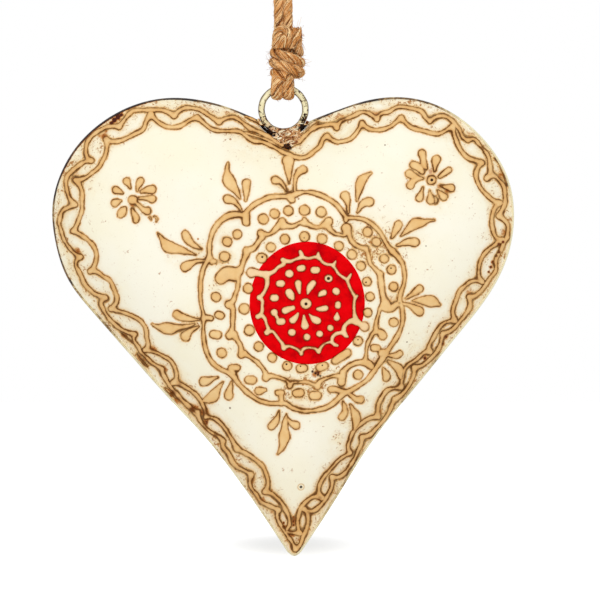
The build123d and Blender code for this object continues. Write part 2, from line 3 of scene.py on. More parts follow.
import bpy
import numpy as np
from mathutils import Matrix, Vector


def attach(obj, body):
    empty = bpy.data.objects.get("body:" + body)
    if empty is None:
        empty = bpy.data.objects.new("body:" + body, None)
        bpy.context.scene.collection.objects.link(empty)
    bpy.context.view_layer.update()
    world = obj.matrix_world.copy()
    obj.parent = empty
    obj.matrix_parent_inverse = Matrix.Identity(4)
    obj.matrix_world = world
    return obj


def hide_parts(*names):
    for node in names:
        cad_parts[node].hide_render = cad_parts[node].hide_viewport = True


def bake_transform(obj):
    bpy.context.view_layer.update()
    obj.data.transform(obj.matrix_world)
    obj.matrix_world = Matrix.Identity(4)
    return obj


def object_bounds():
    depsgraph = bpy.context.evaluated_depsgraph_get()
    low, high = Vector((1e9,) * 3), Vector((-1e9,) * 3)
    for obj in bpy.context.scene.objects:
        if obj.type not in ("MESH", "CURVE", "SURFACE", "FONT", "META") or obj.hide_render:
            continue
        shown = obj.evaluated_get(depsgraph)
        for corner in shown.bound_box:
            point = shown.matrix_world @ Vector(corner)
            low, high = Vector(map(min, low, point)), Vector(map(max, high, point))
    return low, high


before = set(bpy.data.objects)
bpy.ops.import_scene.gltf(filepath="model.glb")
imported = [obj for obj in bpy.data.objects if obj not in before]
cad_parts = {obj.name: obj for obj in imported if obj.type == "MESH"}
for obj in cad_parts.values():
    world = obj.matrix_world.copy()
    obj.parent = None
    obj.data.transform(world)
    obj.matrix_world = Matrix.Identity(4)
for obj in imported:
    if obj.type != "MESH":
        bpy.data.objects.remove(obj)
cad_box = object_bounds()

# The ornament hangs straight down in a plain white room, its tip just clear of a white table that
# takes its shadow. Two soft round lamps stand in front of it, one high and one low, and the room's
# own even light fills the rest. Places are measured on the photograph, and turned into metres.

photo_px = 600
centre_px = photo_px / 2
mm_per_px = 0.43243
ring_axis_px = 283.4
cleft_px = 133.0
cleft_z_mm = -79.6


def at(px, py):
    """Place of a photograph pixel in the upright plane of the rim, in metres."""
    x = (px - ring_axis_px) * mm_per_px * 0.001
    z = (cleft_z_mm - (py - cleft_px) * mm_per_px) * 0.001
    return x, z


def put(name, data):
    thing = bpy.data.objects.new(name, data)
    bpy.context.scene.collection.objects.link(thing)
    return thing


view_distance = 2.0
view_width = photo_px * mm_per_px * 0.001
view_x, view_z = at(centre_px, centre_px)
film_mm = 36
camera_data = bpy.data.cameras.new("camera")
camera_data.sensor_width = film_mm
camera_data.lens = film_mm * view_distance / view_width
camera = put("camera", camera_data)
camera.location = (view_x, -view_distance, view_z)
camera.rotation_euler = (math.radians(90), 0, 0)
bpy.context.scene.camera = camera
bpy.context.scene.view_settings.view_transform = "Standard"


def lamp(name, place, size, power):
    """A soft round lamp that looks at the middle of the picture."""
    data = bpy.data.lights.new(name, "AREA")
    data.shape = "DISK"
    data.size = size
    data.energy = power
    light = put(name, data)
    light.location = place
    aim = Vector((view_x, 0, view_z)) - Vector(place)
    light.rotation_euler = aim.to_track_quat("-Z", "Y").to_euler()


lamp("key_lamp", place=(-0.12, -1.15, 0.75), size=1.0, power=4.8)
lamp("fill_lamp", place=(0.25, -1.5, -0.22), size=0.9, power=4.95)


def reckon(tree, operation, first, second):
    """One number from two, each a socket or a plain number."""
    node = tree.nodes.new("ShaderNodeMath")
    node.operation = operation
    for socket, value in zip(node.inputs, (first, second)):
        if isinstance(value, (int, float)):
            socket.default_value = value
        else:
            tree.links.new(value, socket)
    return node.outputs[0]


def times(tree, first, second):
    return reckon(tree, "MULTIPLY", first, second)


def white_for_camera(tree):
    """One where a camera, a mirror or a glass looks, and nothing for other light."""
    path = tree.nodes.new("ShaderNodeLightPath")
    seen = reckon(tree, "MAXIMUM", path.outputs["Is Camera Ray"], path.outputs["Is Glossy Ray"])
    return reckon(tree, "MAXIMUM", seen, path.outputs["Is Transmission Ray"])


world = bpy.data.worlds.new("room")
bpy.context.scene.world = world
world.use_nodes = True
room = world.node_tree
room.nodes.clear()
room_mix = room.nodes.new("ShaderNodeMixShader")
room_out = room.nodes.new("ShaderNodeOutputWorld")
room.links.new(white_for_camera(room), room_mix.inputs[0])
light_on_pieces = 0.74
white_to_camera = 1.0
for slot, strength in ((1, light_on_pieces), (2, white_to_camera)):
    wall = room.nodes.new("ShaderNodeBackground")
    wall.inputs["Color"].default_value = (1, 1, 1, 1)
    wall.inputs["Strength"].default_value = strength
    room.links.new(wall.outputs[0], room_mix.inputs[slot])
room.links.new(room_mix.outputs[0], room_out.inputs["Surface"])

table_gap = 0.0006
table_half = 3.0
table_z = cad_box[0].z - table_gap
table_mesh = bpy.data.meshes.new("table")
corners = ((-1, -1), (1, -1), (1, 1), (-1, 1))
table_mesh.from_pydata([(x * table_half, y * table_half, table_z) for x, y in corners], [], [(0, 1, 2, 3)])
table = put("table", table_mesh)
shadow_place = (0.0033, 0.11)
shadow_half = (0.036, 0.115)


def own_place(tree):
    """Where a point of the piece is, in the piece's own metres."""
    return tree.nodes.new("ShaderNodeTexCoord").outputs["Object"]


def make_table_white():
    """White for the camera, with a painted soft grey shadow under the heart over its real one, and matt for
    all other light.
    """
    material = bpy.data.materials.new("table_white")
    material.use_nodes = True
    tree = material.node_tree
    tree.nodes.clear()
    matt = tree.nodes.new("ShaderNodeBsdfDiffuse")
    matt.inputs["Color"].default_value = (0.85, 0.85, 0.85, 1)
    glow = tree.nodes.new("ShaderNodeEmission")
    glow.inputs["Color"].default_value = (1, 1, 1, 1)
    both = tree.nodes.new("ShaderNodeAddShader")
    out = tree.nodes.new("ShaderNodeOutputMaterial")
    tree.links.new(matt.outputs[0], both.inputs[0])
    tree.links.new(glow.outputs[0], both.inputs[1])
    tree.links.new(both.outputs[0], out.inputs["Surface"])
    # Painted shadow: the camera's white is weaker in a soft ellipse under the heart and stronger all round
    # it, so the table goes grey there and the wider parts of the heart's real shadow are washed out.
    about = tree.nodes.new("ShaderNodeMapping")
    about.inputs["Location"].default_value = [-p / h for p, h in zip(shadow_place, shadow_half)] + [0]
    about.inputs["Scale"].default_value = [1 / h for h in shadow_half] + [0]
    away = tree.nodes.new("ShaderNodeVectorMath")
    away.operation = "LENGTH"
    level = tree.nodes.new("ShaderNodeMapRange")
    level.interpolation_type = "SMOOTHSTEP"
    for socket, value in (("From Min", 0.2), ("From Max", 1.45), ("To Min", 0.22), ("To Max", 0.60)):
        level.inputs[socket].default_value = value
    tree.links.new(own_place(tree), about.inputs["Vector"])
    tree.links.new(about.outputs["Vector"], away.inputs[0])
    tree.links.new(away.outputs["Value"], level.inputs["Value"])
    seen = times(tree, white_for_camera(tree), level.outputs["Result"])
    tree.links.new(seen, glow.inputs["Strength"])
    return material


table_mesh.materials.append(make_table_white())

# The cord is three-ply jute twine, about 4 mm thick, laid double over a nail and pulled taut by the
# heart's weight. Each ply is a loose bundle of fibres, and stray fibres stand off all round.

cord_diameter = 0.0038
cord_radius = cord_diameter / 2
loop_half = 0.0062
strand_half = 0.00195
foot_z = -0.0341
LOOP_ROUTE = [
    (-strand_half, foot_z), (-strand_half, -0.0263), (-0.00235, -0.0183), (-0.00575, -0.0092),
    (-loop_half, cord_radius), (loop_half, cord_radius), (0.0056, -0.0095), (0.00165, -0.0186),
    (strand_half, -0.0265), (strand_half, foot_z),
]


def centreline(points):
    """Close points along the smooth line that a cord takes by its route."""
    data = bpy.data.curves.new("route", "CURVE")
    data.dimensions = "3D"
    data.resolution_u = 24
    spline = data.splines.new("NURBS")
    spline.points.add(len(points) - 1)
    for point, place in zip(spline.points, points):
        point.co = (*place, 1)
    spline.order_u = 3
    spline.use_endpoint_u = True
    route = put("route", data)
    mesh = bpy.data.meshes.new_from_object(route)
    line = np.array([vertex.co for vertex in mesh.vertices])
    bpy.data.objects.remove(route)
    bpy.data.meshes.remove(mesh)
    return line


def spaced(line, step):
    """The same line with even steps."""
    run = np.concatenate([[0], np.cumsum(np.linalg.norm(np.diff(line, axis=0), axis=1))])
    count = max(int(round(run[-1] / step)), 2)
    marks = np.linspace(0, run[-1], count + 1)
    return np.column_stack([np.interp(marks, run, line[:, k]) for k in range(3)])


def sides_of(line):
    """Two directions square to a line at each of its points, turned as little as can be."""
    along = np.gradient(line, axis=0)
    along /= np.linalg.norm(along, axis=1)[:, None]
    side = np.cross(along[0], (0.31, 0.87, 0.38))
    first = []
    for direction in along:
        side = side - direction * (side @ direction)
        side /= np.linalg.norm(side)
        first.append(side)
    first = np.array(first)
    return first, np.cross(along, first)


def tube_rings(line, radii, corners, sides=None):
    """Vertices and faces of a closed tube round a line."""
    first, second = sides if sides else sides_of(line)
    turn = np.linspace(0, 2 * math.pi, corners, endpoint=False)
    ring = np.cos(turn)[None, :, None] * first[:, None] + np.sin(turn)[None, :, None] * second[:, None]
    vertices = (line[:, None] + ring * np.asarray(radii)[:, None, None]).reshape(-1, 3)
    faces = []
    for k in range(len(line) - 1):
        for c in range(corners):
            d = (c + 1) % corners
            faces.append((k * corners + c, k * corners + d, (k + 1) * corners + d, (k + 1) * corners + c))
    faces.append(tuple(range(corners))[::-1])
    faces.append(tuple(range((len(line) - 1) * corners, len(line) * corners)))
    return vertices, faces


def solid_of(name, parts):
    """One object of several parts, each of vertices, faces and a tone."""
    vertices = []
    faces = []
    tones = []
    for part_vertices, part_faces, tone in parts:
        base = len(vertices)
        vertices.extend(np.asarray(part_vertices).tolist())
        faces.extend(tuple(base + corner for corner in face) for face in part_faces)
        tones.append(np.broadcast_to(tone, len(part_vertices)))
    mesh = bpy.data.meshes.new(name)
    mesh.from_pydata(vertices, [], faces)
    mesh.shade_smooth()
    attribute = mesh.attributes.new("tone", "FLOAT", "POINT")
    attribute.data.foreach_set("value", np.concatenate(tones).astype(np.float32))
    return put(name, mesh)


fibre_twist = 0.0152
ply_groove = 0.36
painted_shade_core = 0.72
bundle_step = 0.0007
wander_step = 0.004
lying_step = 0.0004
lying_longest = 0.0045
stray_step = 0.0005


def off_line(first, second, turn):
    """Directions that stand off a line at some turns round it."""
    return first * np.cos(turn)[:, None] + second * np.sin(turn)[:, None]


def bundle(line, radius, seed, fibres=44, wide=1.0, ragged=0):
    """A twisted bundle of fine fibres, grooved between its plies, laid over a dark core that is painted
    shade in the gaps between them.
    """
    chance = np.random.default_rng(seed)
    line = spaced(line, bundle_step)
    first, second = sides_of(line)
    run = np.arange(len(line)) * bundle_step
    marks = np.arange(0, run[-1] + wander_step, wander_step)
    spread = np.array([wide, 1, 1])
    cut = len(line) - ragged
    corners = 12
    sides = (first[:cut], second[:cut])
    heart, faces = tube_rings(line[:cut] * 0, np.full(cut, radius * painted_shade_core), corners, sides)
    parts = [(np.repeat(line[:cut], corners, 0) + heart * spread, faces, 0.0)]
    for number in range(fibres):
        place = 2 * math.pi * (number + chance.uniform(-0.3, 0.3)) / fibres
        groove = 1 - ply_groove * (1 - abs(math.cos(1.5 * place))) ** 2
        wander = np.interp(run, marks, chance.uniform(-0.05, 0.05, len(marks)))
        slip = np.interp(run, marks, chance.uniform(-0.12, 0.12, len(marks)))
        out = off_line(first, second, place + 2 * math.pi * run / fibre_twist + slip)
        middle = line + out * (radius * (0.9 * groove + wander))[:, None] * spread
        end = len(line) - int(ragged * chance.uniform(0, 1.3))
        thick = radius * chance.uniform(0.06, 0.15)
        vertices, faces = tube_rings(middle[:end], np.full(end, thick), 4)
        shade = np.interp(run * 2, marks, chance.uniform(-0.35, 0.35, len(marks)))
        shade = shade + chance.uniform(0.3, 0.95)
        # Painted shade: fibres that lie in the grooves between the plies are made darker.
        parts.append((vertices, faces, np.repeat(shade[:end] - 0.5 * (groove < 0.85), 4)))
    return parts


def lying_fibres(line, radius, count, seed, wide=1.0):
    """Short fibres that lie on a cord, each at its own slant to the twist."""
    chance = np.random.default_rng(seed)
    line = spaced(line, lying_step)
    first, second = sides_of(line)
    parts = []
    for _ in range(count):
        rings = chance.integers(4, int(lying_longest / lying_step))
        start = chance.integers(0, len(line) - rings)
        here = slice(start, start + rings)
        run = np.arange(start, start + rings) * lying_step
        slant = 2 * math.pi * (run - run[0]) / fibre_twist * chance.uniform(-0.6, 2.2)
        turn = chance.uniform(0, 2 * math.pi) + slant
        groove = 1 - ply_groove * (1 - np.abs(np.cos(1.5 * (turn - 2 * math.pi * run / fibre_twist)))) ** 2
        out = off_line(first[here], second[here], turn)
        middle = line[here] + out * (radius * (0.45 + 0.55 * groove))[:, None] * (wide, 1, 1)
        radii = np.linspace(chance.uniform(0.00006, 0.00014), 0.00003, rings)
        vertices, faces = tube_rings(middle, radii, 3)
        parts.append((vertices, faces, chance.uniform(-0.15, 1.3)))
    return parts


def stray_fibres(line, radius, count, seed, longest, lift=1.0):
    """Fine loose fibres that stand off a cord."""
    chance = np.random.default_rng(seed)
    line = spaced(line, stray_step)
    first, second = sides_of(line)
    share = np.linspace(0, 1, 6)[:, None]
    parts = []
    for _ in range(count):
        k = chance.integers(2, len(line) - 2)
        turn = chance.uniform(0, 2 * math.pi)
        out = first[k] * math.cos(turn) + second[k] * math.sin(turn)
        along = line[k + 1] - line[k - 1]
        along /= np.linalg.norm(along)
        side = np.cross(out, along)
        length = chance.uniform(0.35, 1.0) * longest
        lean = chance.uniform(-1, 1, 2)
        root = line[k] + out * radius * (1 - 0.3 * lift)
        knee = root + (out * 0.5 * lift + along * 0.9 * lean[0] + side * 0.5 * lean[1]) * length
        curl = chance.uniform(-1, 1)
        tip = knee + (out * 0.4 * lift * curl + along * lean[0] + side * 0.7 * lean[1]) * length
        points = (1 - share) ** 2 * root + 2 * share * (1 - share) * knee + share ** 2 * tip
        vertices, faces = tube_rings(points, np.linspace(0.00009, 0.00004, len(share)), 3)
        parts.append((vertices, faces, chance.uniform(-0.1, 0.8)))
    return parts


def colour(red, green, blue):
    """A colour as the eye writes it, from 0 to 255, as the light level that Blender wants."""
    level = [value / 255 for value in (red, green, blue)]
    return tuple(v / 12.92 if v < 0.04045 else ((v + 0.055) / 1.055) ** 2.4 for v in level) + (1,)


def finish_of(name):
    """A new material and its tree, before it has any colour."""
    material = bpy.data.materials.new(name)
    material.use_nodes = True
    return material, material.node_tree


def fact_of(tree, name):
    """A number that the mesh holds at each of its points."""
    fact = tree.nodes.new("ShaderNodeAttribute")
    fact.attribute_name = name
    return fact.outputs["Fac"]


def noise_of(tree, scale, detail=4.0, roughness=0.6, distortion=0.0):
    """Even noise from the piece's own place."""
    noise = tree.nodes.new("ShaderNodeTexNoise")
    noise.inputs["Scale"].default_value = scale
    noise.inputs["Detail"].default_value = detail
    noise.inputs["Roughness"].default_value = roughness
    noise.inputs["Distortion"].default_value = distortion
    tree.links.new(own_place(tree), noise.inputs["Vector"])
    return noise.outputs["Fac"]


def ramp_of(tree, value, stops):
    """Colours along a value, from (place, colour) stops."""
    ramp = tree.nodes.new("ShaderNodeValToRGB")
    elements = ramp.color_ramp.elements
    while len(elements) < len(stops):
        elements.new(0.5)
    for element, (place, tint) in zip(elements, stops):
        element.position = place
        element.color = tint
    tree.links.new(value, ramp.inputs["Fac"])
    return ramp.outputs["Color"]


def plus(tree, first, second):
    return reckon(tree, "ADD", first, second)


def finished(material, tint, height, roughness, bump, depth, gloss=0.5):
    """The material with its colour, roughness and gloss set, and a fine bump from a height."""
    tree = material.node_tree
    shader = tree.nodes["Principled BSDF"]
    tree.links.new(tint, shader.inputs["Base Color"])
    shader.inputs["Roughness"].default_value = roughness
    shader.inputs["Specular IOR Level"].default_value = gloss
    relief = tree.nodes.new("ShaderNodeBump")
    relief.inputs["Strength"].default_value = bump
    relief.inputs["Distance"].default_value = depth
    tree.links.new(height, relief.inputs["Height"])
    tree.links.new(relief.outputs["Normal"], shader.inputs["Normal"])
    return material


def make_jute():
    material, tree = finish_of("jute_twine")
    speckle = noise_of(tree, 1500, 3)
    mixed = plus(tree, times(tree, fact_of(tree, "tone"), 0.7), times(tree, speckle, 0.5))
    tint = ramp_of(tree, mixed, [(0.2, colour(104, 50, 14)), (0.45, colour(194, 122, 54)),
                                 (0.68, colour(230, 168, 100)), (0.95, colour(254, 226, 174))])
    return finished(material, tint, speckle, roughness=0.8, bump=0.4, depth=0.0002, gloss=0.2)


jute = make_jute()
loop_line = centreline([(x, 0, z) for x, z in LOOP_ROUTE])
loop_parts = bundle(loop_line, cord_radius * 1.1, seed=3, fibres=58)
loop_parts += stray_fibres(loop_line, cord_radius, 330, seed=5, longest=0.0021)
loop_parts += lying_fibres(loop_line, cord_radius * 1.1, 1000, seed=6)
hang_loop = solid_of("hang_loop_twine", loop_parts)
hang_loop.data.materials.append(jute)

# The knot is the same twine, wrapped nearly three times tightly round the strands, with its cut and
# frayed end at the upper right. The strands show as a short neck above it, and as two bights below
# that hold the ring.

wire_top_z = -0.060
knot_centre = (0.0016, 0, -0.0497)
knot_cord_radius = 0.0022
wrap_pitch = 0.0043
wrap_turns = 2.75
wrap_tilt = -0.20
wrap_radius = 0.0051
wrap_belly = 0.0009
stub_points = 40
stub_top_z = -0.0342


def knot_route():
    """The wraps from their hidden lower end up to the cut stub."""
    cx, cy, cz = knot_centre
    points = []
    steps = int(wrap_turns * 12)
    for step in range(steps + 1):
        level = step / steps
        angle = -2 * math.pi * wrap_turns * (1 - level)
        bulge = wrap_radius + wrap_belly * math.sin(math.pi * level)
        x = bulge * math.cos(angle)
        z = cz + wrap_pitch * wrap_turns * (level - 0.5) + wrap_tilt * x
        points.append((cx + x, cy - bulge * math.sin(angle), z))
    x, y, z = points[-1]
    points.append((x - 0.0006, y - 0.0026, z + 0.0012))
    points.append((x - 0.0010, y - 0.0036, z + 0.0042))
    points.append((x - 0.0006, y - 0.0036, stub_top_z - 0.003))
    points.append((x - 0.0012, y - 0.0036, stub_top_z))
    return points


knot_line = centreline(knot_route())
knot_parts = bundle(knot_line, knot_cord_radius, seed=8, fibres=56, ragged=3)
knot_parts += stray_fibres(knot_line, knot_cord_radius, 620, seed=9, longest=0.0028)
knot_parts += lying_fibres(knot_line, knot_cord_radius, 1500, seed=10)
stub_line = knot_line[-stub_points:]
knot_parts += stray_fibres(stub_line, knot_cord_radius, 90, seed=11, longest=0.0030, lift=0.7)
cord_knot = solid_of("knot_wraps", knot_parts)
cord_knot.data.materials.append(jute)

core_parts = []
for side in (-1, 1):
    x = side * strand_half
    strand = centreline([
        (x * 1.25, 0, wire_top_z + 0.0020), (x * 1.1, 0, wire_top_z + 0.008),
        (x * 1.15, 0, wire_top_z + 0.016), (x, 0, wire_top_z + 0.022), (x, 0, foot_z)])
    core_parts += bundle(strand, cord_radius * 1.2, seed=12 + side)
    core_parts += stray_fibres(strand, cord_radius, 60, seed=30 + side, longest=0.0018)
neck_radius = 0.0019
neck = centreline([
    (-0.0031, -0.0030, -0.0430), (-0.0033, -0.0040, -0.0385), (-0.0014, -0.0044, -0.0347),
    (0.0016, -0.0042, -0.0352), (0.0027, -0.0040, -0.0390), (0.0030, -0.0030, -0.0430)])
core_parts += bundle(neck, neck_radius, seed=17, fibres=40)
core_parts += stray_fibres(neck, neck_radius, 70, seed=33, longest=0.0024)
core_parts += lying_fibres(neck, neck_radius, 220, seed=34)
tuck_radius = 0.0011
tuck = centreline([
    (-0.0010, -0.0040, -0.0430), (-0.0010, -0.0050, -0.0398), (0.0003, -0.0054, -0.0374),
    (0.0013, -0.0050, -0.0398), (0.0014, -0.0040, -0.0430)])
core_parts += bundle(tuck, tuck_radius, seed=19, fibres=30)
knot_core = solid_of("knot_strands", core_parts)
knot_core.data.materials.append(jute)

bight_parts = []
bight_bend = 0.0035
bight_radius = 0.0020
bight_wide = 1.32
for side, x in ((-1, -0.0028), (1, 0.0021)):
    y = bight_bend
    bight = centreline([
        (x * 0.8, -0.0030, wire_top_z + 0.0050), (x, -y * 1.05, wire_top_z + 0.0020),
        (x, -y * 1.05, wire_top_z - 0.6 * y), (x, -0.5 * y, wire_top_z - y),
        (x, 0.5 * y, wire_top_z - y), (x, y * 1.05, wire_top_z - 0.6 * y),
        (x, y * 1.05, wire_top_z + 0.0020), (x * 0.8, 0.0030, wire_top_z + 0.0050)])
    bight_parts += bundle(bight, bight_radius, seed=20 + side, fibres=54, wide=bight_wide)
    bight_parts += stray_fibres(bight, cord_radius, 60, seed=40 + side, longest=0.0020)
    bight_parts += lying_fibres(bight, bight_radius, 220, seed=44 + side, wide=bight_wide)
ring_bights = solid_of("ring_bights_twine", bight_parts)
ring_bights.data.materials.append(jute)

for piece, node in ((cord_knot, "cord_knot"), (knot_core, "knot_core"), (ring_bights, "ring_bights")):
    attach(piece, "knot")
    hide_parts(node)

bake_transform(hang_loop)
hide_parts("hang_loop")

# The ring is bent from round wire and butt welded, and painted cream with the heart. It hangs in
# the bights of the cord. Its paint is chipped down to dark steel, most of all on its flanks and at
# its foot, where it is rusty too. Its flanks, where the wire turns away from the front, are also
# painted a darker olive: painted shade.

ring_centre_z = wire_top_z - 0.0095
ring_radius = 0.0095
wire_radius = 0.0015
broad_dent = 0.025
small_dent = 0.02


def hoop(line, half_wide, half_deep, seed):
    """A closed, slightly dented tube round a closed line in an upright plane."""
    across = 20
    phase = np.random.default_rng(seed).uniform(0, 6.28, 3)
    along = np.roll(line, -1, 0) - np.roll(line, 1, 0)
    along /= np.linalg.norm(along, axis=1)[:, None]
    out = np.cross(along, (0, 1, 0))
    run = np.linspace(0, 2 * math.pi, len(line), endpoint=False)[:, None]
    turn = np.linspace(0, 2 * math.pi, across, endpoint=False)[None, :]
    dent = 1 - broad_dent * (1 + np.sin(5 * run + phase[0] + turn))
    dent = dent - small_dent * (1 + np.sin(13 * run + phase[1] - turn))
    places = line[:, None] + out[:, None] * (half_wide * dent * np.cos(turn))[..., None]
    places = places + np.array([0, 1, 0]) * (half_deep * dent * np.sin(turn))[..., None]
    faces = []
    count = len(line)
    for a in range(count):
        b = (a + 1) % count
        for c in range(across):
            d = (c + 1) % across
            faces.append((a * across + c, b * across + c, b * across + d, a * across + d))
    # The last value is how far each point faces sideways in the hoop's plane; the ring's paint turns it
    # into painted shade at the wire's edges.
    return places.reshape(-1, 3), faces, np.abs(np.cos(turn) + 0 * run).ravel()


def ramp_value(tree, value, low, high):
    """A number from 0 to 1 between two levels of another."""
    scaled = tree.nodes.new("ShaderNodeMapRange")
    scaled.inputs["From Min"].default_value = low
    scaled.inputs["From Max"].default_value = high
    tree.links.new(value, scaled.inputs["Value"])
    return scaled.outputs["Result"]


def less(tree, first, second):
    return reckon(tree, "SUBTRACT", first, second)


def swing_of(tree, noise, reach, middle=0.5):
    """How far some noise is from its middle, made larger or smaller."""
    return times(tree, less(tree, noise, middle), reach)


def tint_over(tree, share, under, over):
    """One colour laid over another, by a share from 0 to 1."""
    mix = tree.nodes.new("ShaderNodeMix")
    mix.data_type = "RGBA"
    mix.inputs["B"].default_value = over
    tree.links.new(share, mix.inputs["Factor"])
    tree.links.new(under, mix.inputs["A"])
    return mix.outputs["Result"]


def place_of(tree):
    """The three measures of a point's place on the piece."""
    parts = tree.nodes.new("ShaderNodeSeparateXYZ")
    tree.links.new(own_place(tree), parts.inputs[0])
    return parts.outputs


def make_ring_paint():
    material, tree = finish_of("chipped_and_edge_shaded_ring_paint")
    flank = fact_of(tree, "tone")
    chips = noise_of(tree, 800, 5, distortion=0.6)
    broad = noise_of(tree, 170, 2)
    tint = ramp_of(tree, broad, [(0.3, colour(222, 208, 156)), (0.6, colour(248, 240, 200))])
    # Painted shade: where the wire turns away from the front, at its flanks, it goes dark olive.
    painted_edge_shade = ramp_value(tree, plus(tree, flank, swing_of(tree, broad, 1.1)), 0.5, 0.95)
    tint = tint_over(tree, times(tree, painted_edge_shade, 0.95), tint, colour(98, 70, 32))
    foot = ramp_value(tree, place_of(tree)["Z"], ring_centre_z - 0.002, ring_centre_z - 0.009)
    rust = times(tree, foot, ramp_value(tree, noise_of(tree, 420, 4), 0.4, 0.6))
    tint = tint_over(tree, times(tree, rust, 0.85), tint, colour(206, 140, 92))
    # Chips gather a little more on the flanks too: real wear that adds to the painted edge shade.
    chipped = plus(tree, chips, times(tree, flank, 0.09))
    chipped = less(tree, chipped, times(tree, ramp_value(tree, broad, 0.4, 0.6), 0.12))
    chipped = plus(tree, chipped, times(tree, foot, 0.035))
    tint = tint_over(tree, ramp_value(tree, chipped, 0.54, 0.58), tint, colour(64, 26, 8))
    return finished(material, tint, chips, roughness=0.42, bump=0.35, depth=0.0004, gloss=0.15)


round_ring = np.linspace(0, -2 * math.pi, 160, endpoint=False)
ring_line = np.column_stack([np.cos(round_ring), 0 * round_ring, np.sin(round_ring)]) * ring_radius
ring_line = ring_line + (0, 0, ring_centre_z)
ring = solid_of("ring_wire", [hoop(ring_line, wire_radius, wire_radius, seed=51)])
ring.data.materials.append(make_ring_paint())
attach(ring, "heart")
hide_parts("hanging_ring")

# Two piped lines run round the rim, one inside the other. They are tan slip, squeezed from a cone
# straight onto the domed and painted front sheet, in short bellies that meet at a cusp. There the
# slip runs together and fills the inner corner.

HEART_PX = [
    [(289, 133), (262, 121.5), (230, 108), (200, 100), (170, 97.8), (140, 103), (105, 120), (78.5, 144),
     (61, 173), (52.3, 208), (55, 240), (67.3, 278), (92.5, 312), (133.8, 359), (177, 407), (205, 437),
     (225.8, 463), (256, 505), (287.5, 552)],
    [(287.5, 552), (294.5, 556), (301, 552)],
    [(301, 552), (332.8, 504), (354.8, 468), (379, 432), (418, 384), (457, 336), (493, 288), (509, 252),
     (514, 212), (508, 178), (488, 144), (463, 120), (425, 101), (395, 97), (365, 101), (335, 111),
     (308, 122), (289, 133)],
]


def flowing(points, step):
    """Close points of a smooth line through a few points in pixels, and its radius where one is given."""
    p = np.array(points, float)
    if len(p) == 2:
        count = max(int(np.hypot(*(p[1] - p[0])[:2]) / step), 2)
        return p[0] + (p[1] - p[0]) * np.linspace(0, 1, count + 1)[:, None]
    t = np.concatenate([[0], np.cumsum(np.hypot(*np.diff(p[:, :2], axis=0).T))])
    h = np.diff(t)
    n = len(t)
    system = np.zeros((n, n))
    right = np.zeros(p.shape)
    system[0, :2] = 2, 1
    right[0] = 3 * (p[1] - p[0]) / h[0]
    system[-1, -2:] = 1, 2
    right[-1] = 3 * (p[-1] - p[-2]) / h[-1]
    for i in range(1, n - 1):
        system[i, i - 1:i + 2] = h[i], 2 * (h[i - 1] + h[i]), h[i - 1]
        right[i] = 3 * (h[i] * (p[i] - p[i - 1]) / h[i - 1] + h[i - 1] * (p[i + 1] - p[i]) / h[i])
    slope = np.linalg.solve(system, right)
    rows = []
    for i in range(n - 1):
        u = np.linspace(0, 1, max(int(h[i] / step), 1) + 1)[:-1, None]
        rows.append((1 + 2 * u) * (1 - u) ** 2 * p[i] + u * (1 - u) ** 2 * h[i] * slope[i]
                    + u * u * (3 - 2 * u) * p[i + 1] + u * u * (u - 1) * h[i] * slope[i + 1])
    rows.append(p[-1:])
    return np.vstack(rows)


rim_step_px = 1.5
rim_px = np.vstack([flowing(row, rim_step_px)[:-1] for row in HEART_PX])
far_px = 60.0
grid_step = 0.7
grid_x = np.arange(42, 524, grid_step)
grid_y = np.arange(88, 564, grid_step)
GRID_X, GRID_Y = np.meshgrid(grid_x, grid_y, indexing="ij")


def inside_heart(x, y):
    """Which grid places lie inside the heart's outline."""
    flip = np.zeros(x.shape, bool)
    for (x0, y0), (x1, y1) in zip(rim_px, np.roll(rim_px, -1, 0)):
        if y0 == y1:
            continue
        crosses = (y0 > y) != (y1 > y)
        flip ^= crosses & (x < (x1 - x0) * (y - y0) / (y1 - y0) + x0)
    return flip


def clear_field():
    """A grid of distances from nothing: far off everywhere, in pixels."""
    return np.full(GRID_X.shape, far_px)


def edge_distance():
    """Distance of each grid place from the heart's edge in pixels, negative inside."""
    away = clear_field()
    reach = 26
    for (x0, y0), (x1, y1) in zip(rim_px, np.roll(rim_px, -1, 0)):
        low_x, high_x = np.searchsorted(grid_x, (min(x0, x1) - reach, max(x0, x1) + reach))
        low_y, high_y = np.searchsorted(grid_y, (min(y0, y1) - reach, max(y0, y1) + reach))
        px = GRID_X[low_x:high_x, low_y:high_y] - x0
        py = GRID_Y[low_x:high_x, low_y:high_y] - y0
        dx, dy = x1 - x0, y1 - y0
        t = np.clip((px * dx + py * dy) / (dx * dx + dy * dy + 1e-9), 0, 1)
        d = np.hypot(px - t * dx, py - t * dy)
        away[low_x:high_x, low_y:high_y] = np.minimum(away[low_x:high_x, low_y:high_y], d)
    return np.where(inside_heart(GRID_X, GRID_Y), -away, away)


rim_field = edge_distance()


def read_dome():
    """Points of the CAD's front sheet that face the viewer."""
    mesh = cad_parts["front_shell"].data
    places = np.array([vertex.co for vertex in mesh.vertices])
    facing = np.array([vertex.normal for vertex in mesh.vertices])
    toward_viewer = -0.25
    return places[facing[:, 1] < toward_viewer]


def over_span(x, z, span):
    """Two numbers from -1 to 1 for a place in the upright plane."""
    low_x, low_z, high_x, high_z = span
    return 2 * (x - low_x) / (high_x - low_x) - 1, 2 * (z - low_z) / (high_z - low_z) - 1


